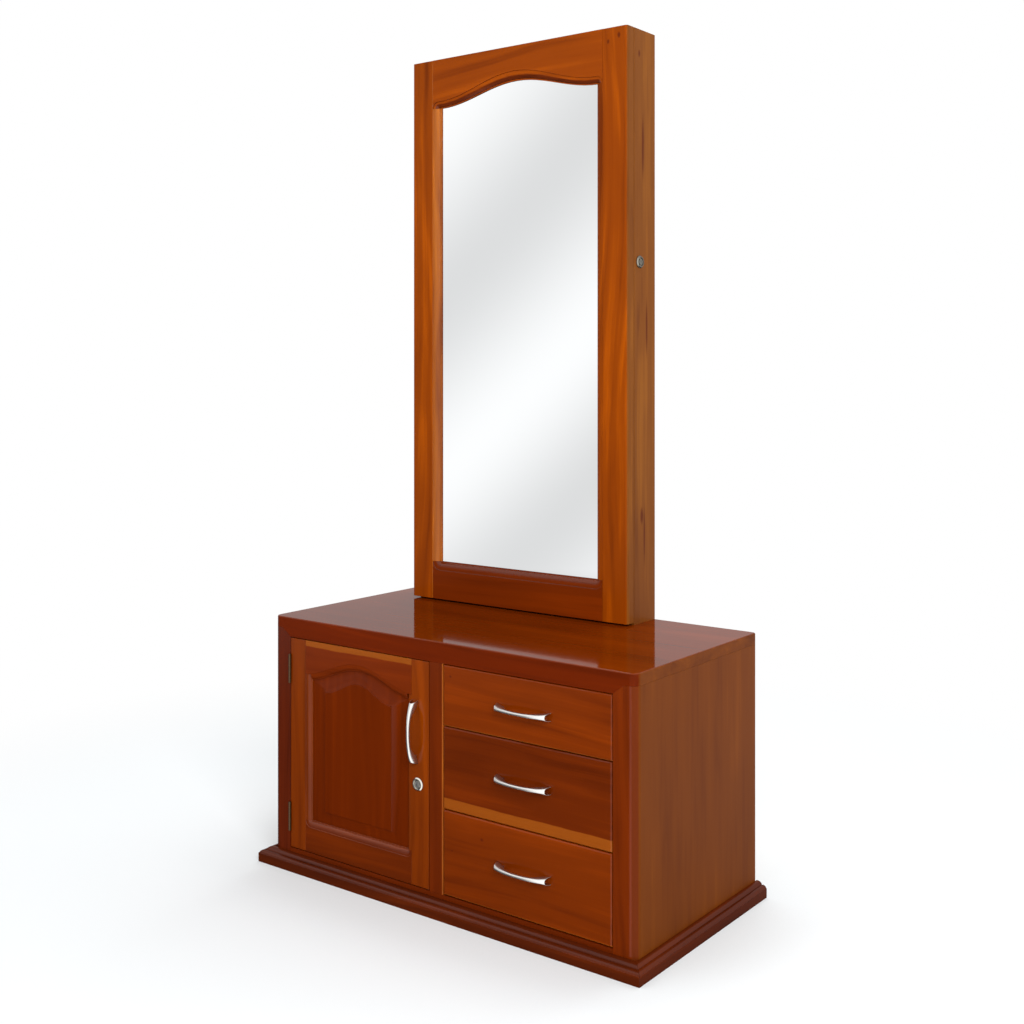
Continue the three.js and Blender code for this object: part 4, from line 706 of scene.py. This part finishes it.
for board, (kind, grain, radius_mm, record_slot) in {**CABINET_BOARDS, **DOOR_BOARDS}.items():
    finish = timber(
        board + "_timber", kind, grain, band=BANDS.get(board), knots=KNOTS.get(board, ()),
        faces=FACES.get(board, ()), moulding=MOULDING_PAINTED_LIGHT_AND_SHADE.get(board),
    )
    dress(board, finish, radius_mm * MM)
print("boards dressed:", len(CABINET_BOARDS) + len(DOOR_BOARDS))

# %% Dress the drawers
DRAWER_FRONTS = {"drawer_top": "drawer", "drawer_middle": "drawer_dark", "drawer_bottom": "drawer"}
FRONT_ARRIS = 0.8 * MM
BOX_ARRIS = 0.6 * MM
SHEET_ARRIS = 0.3 * MM

for drawer, kind in DRAWER_FRONTS.items():
    front = drawer + "_front"
    finish = timber(
        front + "_timber", kind, "x", band=BANDS.get(front), knots=KNOTS.get(front, ()),
        faces=FACES.get(front, ()),
    )
    dress(front, finish, FRONT_ARRIS)
    box_finish = timber(drawer + "_box_timber", "drawer_box", "y")
    for side in ("_side_left", "_side_right"):
        dress(drawer + side, box_finish, BOX_ARRIS)
    back_finish = timber(drawer + "_back_timber", "drawer_box", "x")
    dress(drawer + "_back", back_finish, BOX_ARRIS)
    dress(drawer + "_bottom", timber(drawer + "_sheet_timber", "plywood", "x"), SHEET_ARRIS)
print("drawers dressed:", len(DRAWER_FRONTS))

# %% [markdown]
# ## Mirror and metal
# Silvered glass is a nearly perfect metal. The handles are satin, brushed along their length, and the
# locks are bright nickel, a little worn; the mirror's lock is painted darker, a painted shade that keeps its
# reflection of the bright wall from glaring.

# %% Dress the mirror and the metal
VALLEY_SHADE = 0.86
BRUSH_BUMP = {"Strength": 0.06, "Distance": 0.0002}
SILVER = (0.965, 0.978, 0.985, 1)
HAZE_SCALE = 3.0
HAZE = 0.012
GLASS_ARRIS = 0.6 * MM
LOCK_ARRIS = 0.25 * MM
PLUG_ARRIS = 0.2 * MM
STAPLE_ARRIS = 0.3 * MM
LEAF_ARRIS = 0.15 * MM


def metal(name, colour, roughness, scratch, stretch):
    """Brushed metal: stretch sets how fine the brush lines are along each axis."""
    finish, tree = blank_material(name)
    place = tree.node("ShaderNodeTexCoord").outputs["Object"]
    lines = tree.noise(place, stretch, 3.0)
    gloss = tree.ranged(lines, 0.0, 1.0, roughness - scratch, roughness + scratch)
    valley = tuple(VALLEY_SHADE * part for part in colour[:3]) + (1,)
    bump = tree.node("ShaderNodeBump", {"Height": lines, **BRUSH_BUMP})
    shader = tree.node("ShaderNodeBsdfPrincipled", {
        "Base Color": tree.mix(lines, valley, colour), "Metallic": 1.0, "Roughness": gloss,
        "Normal": bump.outputs[0],
    })
    tree.node("ShaderNodeOutputMaterial", {"Surface": shader.outputs[0]})
    return finish


def silvered_glass():
    finish, tree = blank_material("silvered_glass")
    place = tree.node("ShaderNodeTexCoord").outputs["Object"]
    haze = tree.node("ShaderNodeTexNoise", {"Vector": place, "Scale": HAZE_SCALE, "Detail": 2.0})
    shader = tree.node("ShaderNodeBsdfPrincipled", {
        "Base Color": SILVER, "Metallic": 1.0,
        "Roughness": tree.ranged(haze.outputs["Fac"], 0.0, 1.0, 0.0, HAZE),
    })
    tree.node("ShaderNodeOutputMaterial", {"Surface": shader.outputs[0]})
    return finish


SATIN = daylight(206, 205, 202)
SATIN_ALONG_X = metal("satin_nickel_across", SATIN, 0.30, 0.07, (30, 900, 900))
SATIN_ALONG_Z = metal("satin_nickel_upright", SATIN, 0.30, 0.07, (900, 900, 30))
BRIGHT_NICKEL = metal("bright_nickel", daylight(190, 186, 176), 0.16, 0.05, (400, 400, 400))
# The mirror's lock is the same nickel, painted darker: painted shade
SHADED_NICKEL = metal("shaded_nickel", daylight(132, 128, 118), 0.24, 0.07, (400, 400, 400))
WORN_NICKEL = metal("worn_nickel", daylight(176, 174, 170), 0.36, 0.08, (400, 400, 400))
HINGE_STEEL = metal("hinge_steel", daylight(84, 66, 48), 0.5, 0.08, (500, 500, 60))
SCREW_STEEL = metal("screw_steel", daylight(150, 146, 138), 0.34, 0.08, (600, 600, 600))

# Light that the mirror throws on wood is left out, because it only makes specks there
dress("mirror_glass", silvered_glass(), GLASS_ARRIS).visible_diffuse = False
for lock, ring, plug in (
    ("door_lock", BRIGHT_NICKEL, WORN_NICKEL),
    ("mirror_lock", SHADED_NICKEL, SHADED_NICKEL),
):
    dress(lock + "_body", ring, LOCK_ARRIS)
    dress(lock + "_plug", plug, PLUG_ARRIS)
dress("mirror_lock_keeper", HINGE_STEEL, STAPLE_ARRIS)
hinge_leaves = [name for name in nodes if "hinge" in name]
for leaf in hinge_leaves:
    dress(leaf, HINGE_STEEL, LEAF_ARRIS)
print("hinge leaves dressed:", len(hinge_leaves))

# %% [markdown]
# ## Bow handles
# Each handle is one cast strap that bows outwards, narrow in the middle and flared at its ends, with a
# hollow back. The solid in the drawing is a plain version of it. A loft follows the real rule closely: an
# arch is drawn across the strap at every step along it, and its width, height and legs change with the step.
# Towards the ends the crown falls back a little behind the legs, so each end is cut at a slant.

# %% Cast the handles
HANDLE_HALF = 62 * MM
HANDLE_SCREW_HALF = 48 * MM
# In the middle and at the ends
HANDLE_REACH = (25.5 * MM, 15.0 * MM)
HANDLE_HALF_WIDTH = (3.4 * MM, 7.6 * MM)
HANDLE_BOW = 2.2
HANDLE_FLARE = 2.4
HANDLE_WALL = 1.2 * MM
HANDLE_STRAP = 5.5 * MM
HANDLE_FOOT = 0.5 * MM
HANDLE_RAKE = 5.0 * MM
RAKE_ONSET = 4
# Where along the half strap the legs start down and where they reach the wood
LEG_START, LEG_END = 0.40, 0.98
HANDLE_ARRIS = 0.35 * MM
ARRIS_TURN = math.radians(44)
POST_RADIUS = 3.0 * MM
POST_DROP = 1.6 * MM
POST_SIDES = 20
LOFT_STEPS = 36
ARCH_STEPS = 12
ARCH_FULLNESS = 0.78


def blended(middle, end, share):
    return middle + (end - middle) * share


def arch(share, inset):
    """Arch across the strap, as (across, outwards) pairs; share goes from 0 in the middle to 1 at an end."""
    half = blended(*HANDLE_HALF_WIDTH, share ** HANDLE_FLARE) - inset
    crown = blended(*HANDLE_REACH, share ** HANDLE_BOW) - inset
    leg = min(max((share - LEG_START) / (LEG_END - LEG_START), 0), 1)
    back = blended(crown + inset - HANDLE_STRAP, HANDLE_FOOT, leg * leg * (3 - 2 * leg))
    points = []
    for step in range(ARCH_STEPS + 1):
        turn = math.pi * (step / ARCH_STEPS - 0.5)
        across = math.copysign(abs(math.sin(turn)) ** ARCH_FULLNESS, turn)
        points.append((half * across, back + (crown - back) * math.cos(turn) ** ARCH_FULLNESS))
    return points


def closed_band(work, first, second):
    """Faces between two rings of the same count."""
    for index in range(len(first)):
        after = (index + 1) % len(first)
        work.faces.new((first[index], first[after], second[after], second[index]))


def strap(work, place):
    rings = []
    for step in range(LOFT_STEPS + 1):
        along = HANDLE_HALF * (2 * step / LOFT_STEPS - 1)
        share = min(abs(along) / HANDLE_HALF, 1)
        rake = math.copysign(HANDLE_RAKE * share ** RAKE_ONSET, along) / HANDLE_REACH[1]
        outline = arch(share, 0) + arch(share, HANDLE_WALL)[::-1]
        points = [(along - rake * min(out, HANDLE_REACH[1]), across, out) for across, out in outline]
        rings.append([work.verts.new(place(*point)) for point in points])
    for ring, following in zip(rings, rings[1:]):
        closed_band(work, ring, following)
    count = len(rings[0])
    for ring in (rings[0], rings[-1]):
        for index in range(ARCH_STEPS):
            work.faces.new((ring[index], ring[index + 1], ring[count - 2 - index], ring[count - 1 - index]))


def posts(work, place):
    post_end = (HANDLE_SCREW_HALF + POST_RADIUS) / HANDLE_HALF
    top = blended(*HANDLE_REACH, post_end ** HANDLE_BOW) - POST_DROP
    turns = [math.tau * step / POST_SIDES for step in range(POST_SIDES)]
    for side in (-1, 1):
        foot, head = [
            [work.verts.new(place(
                side * HANDLE_SCREW_HALF + POST_RADIUS * math.cos(turn), POST_RADIUS * math.sin(turn), out,
            )) for turn in turns]
            for out in (0, top)
        ]
        closed_band(work, foot, head)
        work.faces.new(foot)
        work.faces.new(head)


def cast_handle(node, finish, board, upright):
    low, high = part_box(node)
    middle = [(start + end) / 2 for start, end in zip(low, high)]
    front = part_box(board)[0][1]

    def place(along, across, out):
        if upright:
            return (middle[0] + across, front - out, middle[2] + along)
        return (middle[0] + along, front - out, middle[2] + across)

    work = bmesh.new()
    strap(work, place)
    posts(work, place)
    bmesh.ops.recalc_face_normals(work, faces=work.faces)
    weight = work.edges.layers.float.new("bevel_weight_edge")
    for face in work.faces:
        face.smooth = True
    for edge in work.edges:
        edge.smooth = edge.calc_face_angle(0) < ARRIS_TURN
        edge[weight] = 0.0 if edge.smooth else 1.0
    mesh = bpy.data.meshes.new(node)
    work.to_mesh(mesh)
    work.free()
    made = place_piece(node + "_dressed", rounded(mesh, HANDLE_ARRIS), finish, body_of(node))
    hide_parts(node)
    return len(made.data.polygons)


faces = [
    cast_handle(drawer + "_handle", SATIN_ALONG_X, drawer + "_front", upright=False) for drawer in DRAWER_FRONTS
]
faces.append(cast_handle("door_handle", SATIN_ALONG_Z, "door_stile_right", upright=True))
print("handles cast:", len(faces), "faces of each:", faces)

# %% [markdown]
# ## Screws
# Every hinge leaf has a row of countersunk screws, and every handle is held by two from inside. Rows of one
# thing are work for Geometry Nodes: the tree takes the first place of each row, draws a line of points from
# it, puts a screw head on every point, and turns the result into a real mesh with its finish.

# %% Model one screw head
SLOT_HALF = 0.3 * MM
HEAD_SIDES = 24
SECTOR_STEPS = 6
SUNK = 0.5 * MM
# How high the disc stands between the sectors, as a share of their height
RECESS_SHARE = 0.4


def prism(work, outline, low, high):
    bottom, top = [[work.verts.new((x, y, z)) for x, y in outline] for z in (low, high)]
    work.faces.new(bottom[::-1])
    work.faces.new(top)
    closed_band(work, bottom, top)


def on_circle(radius, turns):
    return [(radius * math.cos(turn), radius * math.sin(turn)) for turn in turns]


def screw_head(name, radius, height):
    """Flat head whose cross recess is left open between four sectors, standing on a thin disc."""
    work = bmesh.new()
    around = [math.tau * step / HEAD_SIDES for step in range(HEAD_SIDES)]
    prism(work, on_circle(radius, around), -SUNK, height * RECESS_SHARE)
    reach = math.asin(SLOT_HALF / radius)
    sweep = math.pi / 2 - 2 * reach
    for quarter in range(4):
        start = quarter * math.pi / 2
        turns = [start + reach + sweep * step / SECTOR_STEPS for step in range(SECTOR_STEPS + 1)]
        inner_corner = on_circle(SLOT_HALF * math.sqrt(2), [start + math.pi / 4])
        prism(work, inner_corner + on_circle(radius, turns), 0, height)
    mesh = bpy.data.meshes.new(name)
    work.to_mesh(mesh)
    work.free()
    return bpy.data.objects.new(name, mesh)


LEAF_HEAD = screw_head("leaf_screw_head", 2.7 * MM, 0.1 * MM)
HANDLE_HEAD = screw_head("handle_screw_head", 4.2 * MM, 2.2 * MM)
print("faces of a head:", len(LEAF_HEAD.data.polygons))

# %% Build the tree that sets out rows of screws
ROW_INPUTS = {
    "Geometry": "NodeSocketGeometry",
    "Count": "NodeSocketInt",
    "Step": "NodeSocketVector",
    "Head": "NodeSocketObject",
    "Finish": "NodeSocketMaterial",
}


def screw_rows_tree():
    group = bpy.data.node_groups.new("screw_rows", "GeometryNodeTree")
    for socket, kind in ROW_INPUTS.items():
        group.interface.new_socket(socket, in_out="INPUT", socket_type=kind)
    group.interface.new_socket("Geometry", in_out="OUTPUT", socket_type="NodeSocketGeometry")
    tree = Tree(group)
    given = tree.node("NodeGroupInput").outputs
    row = tree.node("GeometryNodeMeshLine", {"Count": given["Count"], "Offset": given["Step"]}, mode="OFFSET")
    rows = tree.node("GeometryNodeInstanceOnPoints", {
        "Points": given["Geometry"], "Instance": row.outputs["Mesh"],
    })
    places = tree.node("GeometryNodeRealizeInstances", {"Geometry": rows.outputs["Instances"]})
    turn = tree.node("GeometryNodeInputNamedAttribute", {"Name": "turn"}, data_type="FLOAT_VECTOR")
    head = tree.node("GeometryNodeObjectInfo", {"Object": given["Head"]})
    heads = tree.node("GeometryNodeInstanceOnPoints", {
        "Points": places.outputs["Geometry"],
        "Instance": head.outputs["Geometry"],
        "Rotation": turn.outputs["Attribute"],
    })
    solid = tree.node("GeometryNodeRealizeInstances", {"Geometry": heads.outputs["Instances"]})
    finished = tree.node("GeometryNodeSetMaterial", {
        "Geometry": solid.outputs["Geometry"], "Material": given["Finish"],
    })
    tree.node("NodeGroupOutput", {"Geometry": finished.outputs["Geometry"]})
    return group


SCREW_ROWS = screw_rows_tree()
print("nodes of the screw rows:", len(SCREW_ROWS.nodes))


def drive_screws(name, body, rows, count, step, head):
    """One mesh of screws on a body; rows are (first place, turn) pairs."""
    starts = bpy.data.meshes.new(name + "_rows")
    starts.from_pydata([place for place, _ in rows], [], [])
    turns = starts.attributes.new("turn", "FLOAT_VECTOR", "POINT")
    for index, (_, turn) in enumerate(rows):
        turns.data[index].vector = turn
    rough = add_object(name + "_rows", starts)
    modifier = rough.modifiers.new("rows", "NODES")
    modifier.node_group = SCREW_ROWS
    sockets = {socket.name: socket.identifier for socket in SCREW_ROWS.interface.items_tree
               if socket.in_out == "INPUT"}
    for socket, value in (("Count", count), ("Step", step), ("Head", head), ("Finish", SCREW_STEEL)):
        modifier[sockets[socket]] = value
    place_piece(name, plain_mesh(rough), SCREW_STEEL, body)

# %% Drive the screws
LEAF_WIDTH = 15 * MM
LEAF_GAP = 0.4 * MM
LEAF_SCREW_INSET = 8 * MM
LEAF_SCREW_STEP = 22 * MM
LEAF_SCREWS = 3
HANDLE_SCREWS = 2
LOOKS_RIGHT, LOOKS_LEFT = (0, math.pi / 2, 0), (0, -math.pi / 2, 0)
LOOKS_FORWARD, LOOKS_BACK = (math.pi / 2, 0, 0), (-math.pi / 2, 0, 0)
# Of each kind of leaf: on which side of the closed gap its face lies, and where that face looks
LEAF_FACES = {
    ("door", "fixed"): (-1, LOOKS_RIGHT),
    ("door", "moving"): (1, LOOKS_LEFT),
    ("mirror", "fixed"): (1, LOOKS_FORWARD),
    ("mirror", "moving"): (-1, LOOKS_BACK),
}


def leaf_row(node):
    """First screw place of a hinge leaf, and the way the heads look."""
    low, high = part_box(node)
    side, turn = LEAF_FACES[(node.split("_")[0], node.split("_")[-1])]
    thin, wide = (0, 1) if high[0] - low[0] < high[1] - low[1] else (1, 0)
    place = [0, 0, low[2] + LEAF_SCREW_INSET]
    place[thin] = (low[thin] + high[thin]) / 2 + side * LEAF_GAP / 2
    place[wide] = high[wide] - LEAF_WIDTH / 2
    return tuple(place), turn


leaf_rows = {}
for leaf in hinge_leaves:
    leaf_rows.setdefault(body_of(leaf), []).append(leaf_row(leaf))
for body, rows in leaf_rows.items():
    drive_screws(body + "_hinge_screws", body, rows, LEAF_SCREWS, (0, 0, LEAF_SCREW_STEP), LEAF_HEAD)
handles = [(drawer + "_handle", drawer + "_front", (2 * HANDLE_SCREW_HALF, 0, 0)) for drawer in DRAWER_FRONTS]
handles.append(("door_handle", "door_stile_right", (0, 0, 2 * HANDLE_SCREW_HALF)))
for handle, board, step in handles:
    low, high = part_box(handle)
    start = [(low[0] + high[0] - step[0]) / 2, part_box(board)[1][1], (low[2] + high[2] - step[2]) / 2]
    drive_screws(handle + "_screws", body_of(handle), [(start, LOOKS_BACK)], HANDLE_SCREWS, step, HANDLE_HEAD)
for head in (LEAF_HEAD, HANDLE_HEAD):
    bpy.data.objects.remove(head)
print("hinge screws:", LEAF_SCREWS * len(hinge_leaves), "handle screws:", HANDLE_SCREWS * len(handles))

# %% [markdown]
# ## Last check
# The last cell lists any solid that is left in the plain grey of the solids.

# %% Finish
undressed = [name for name in nodes if name + "_dressed" not in bpy.data.objects]
print("left undressed:", undressed)
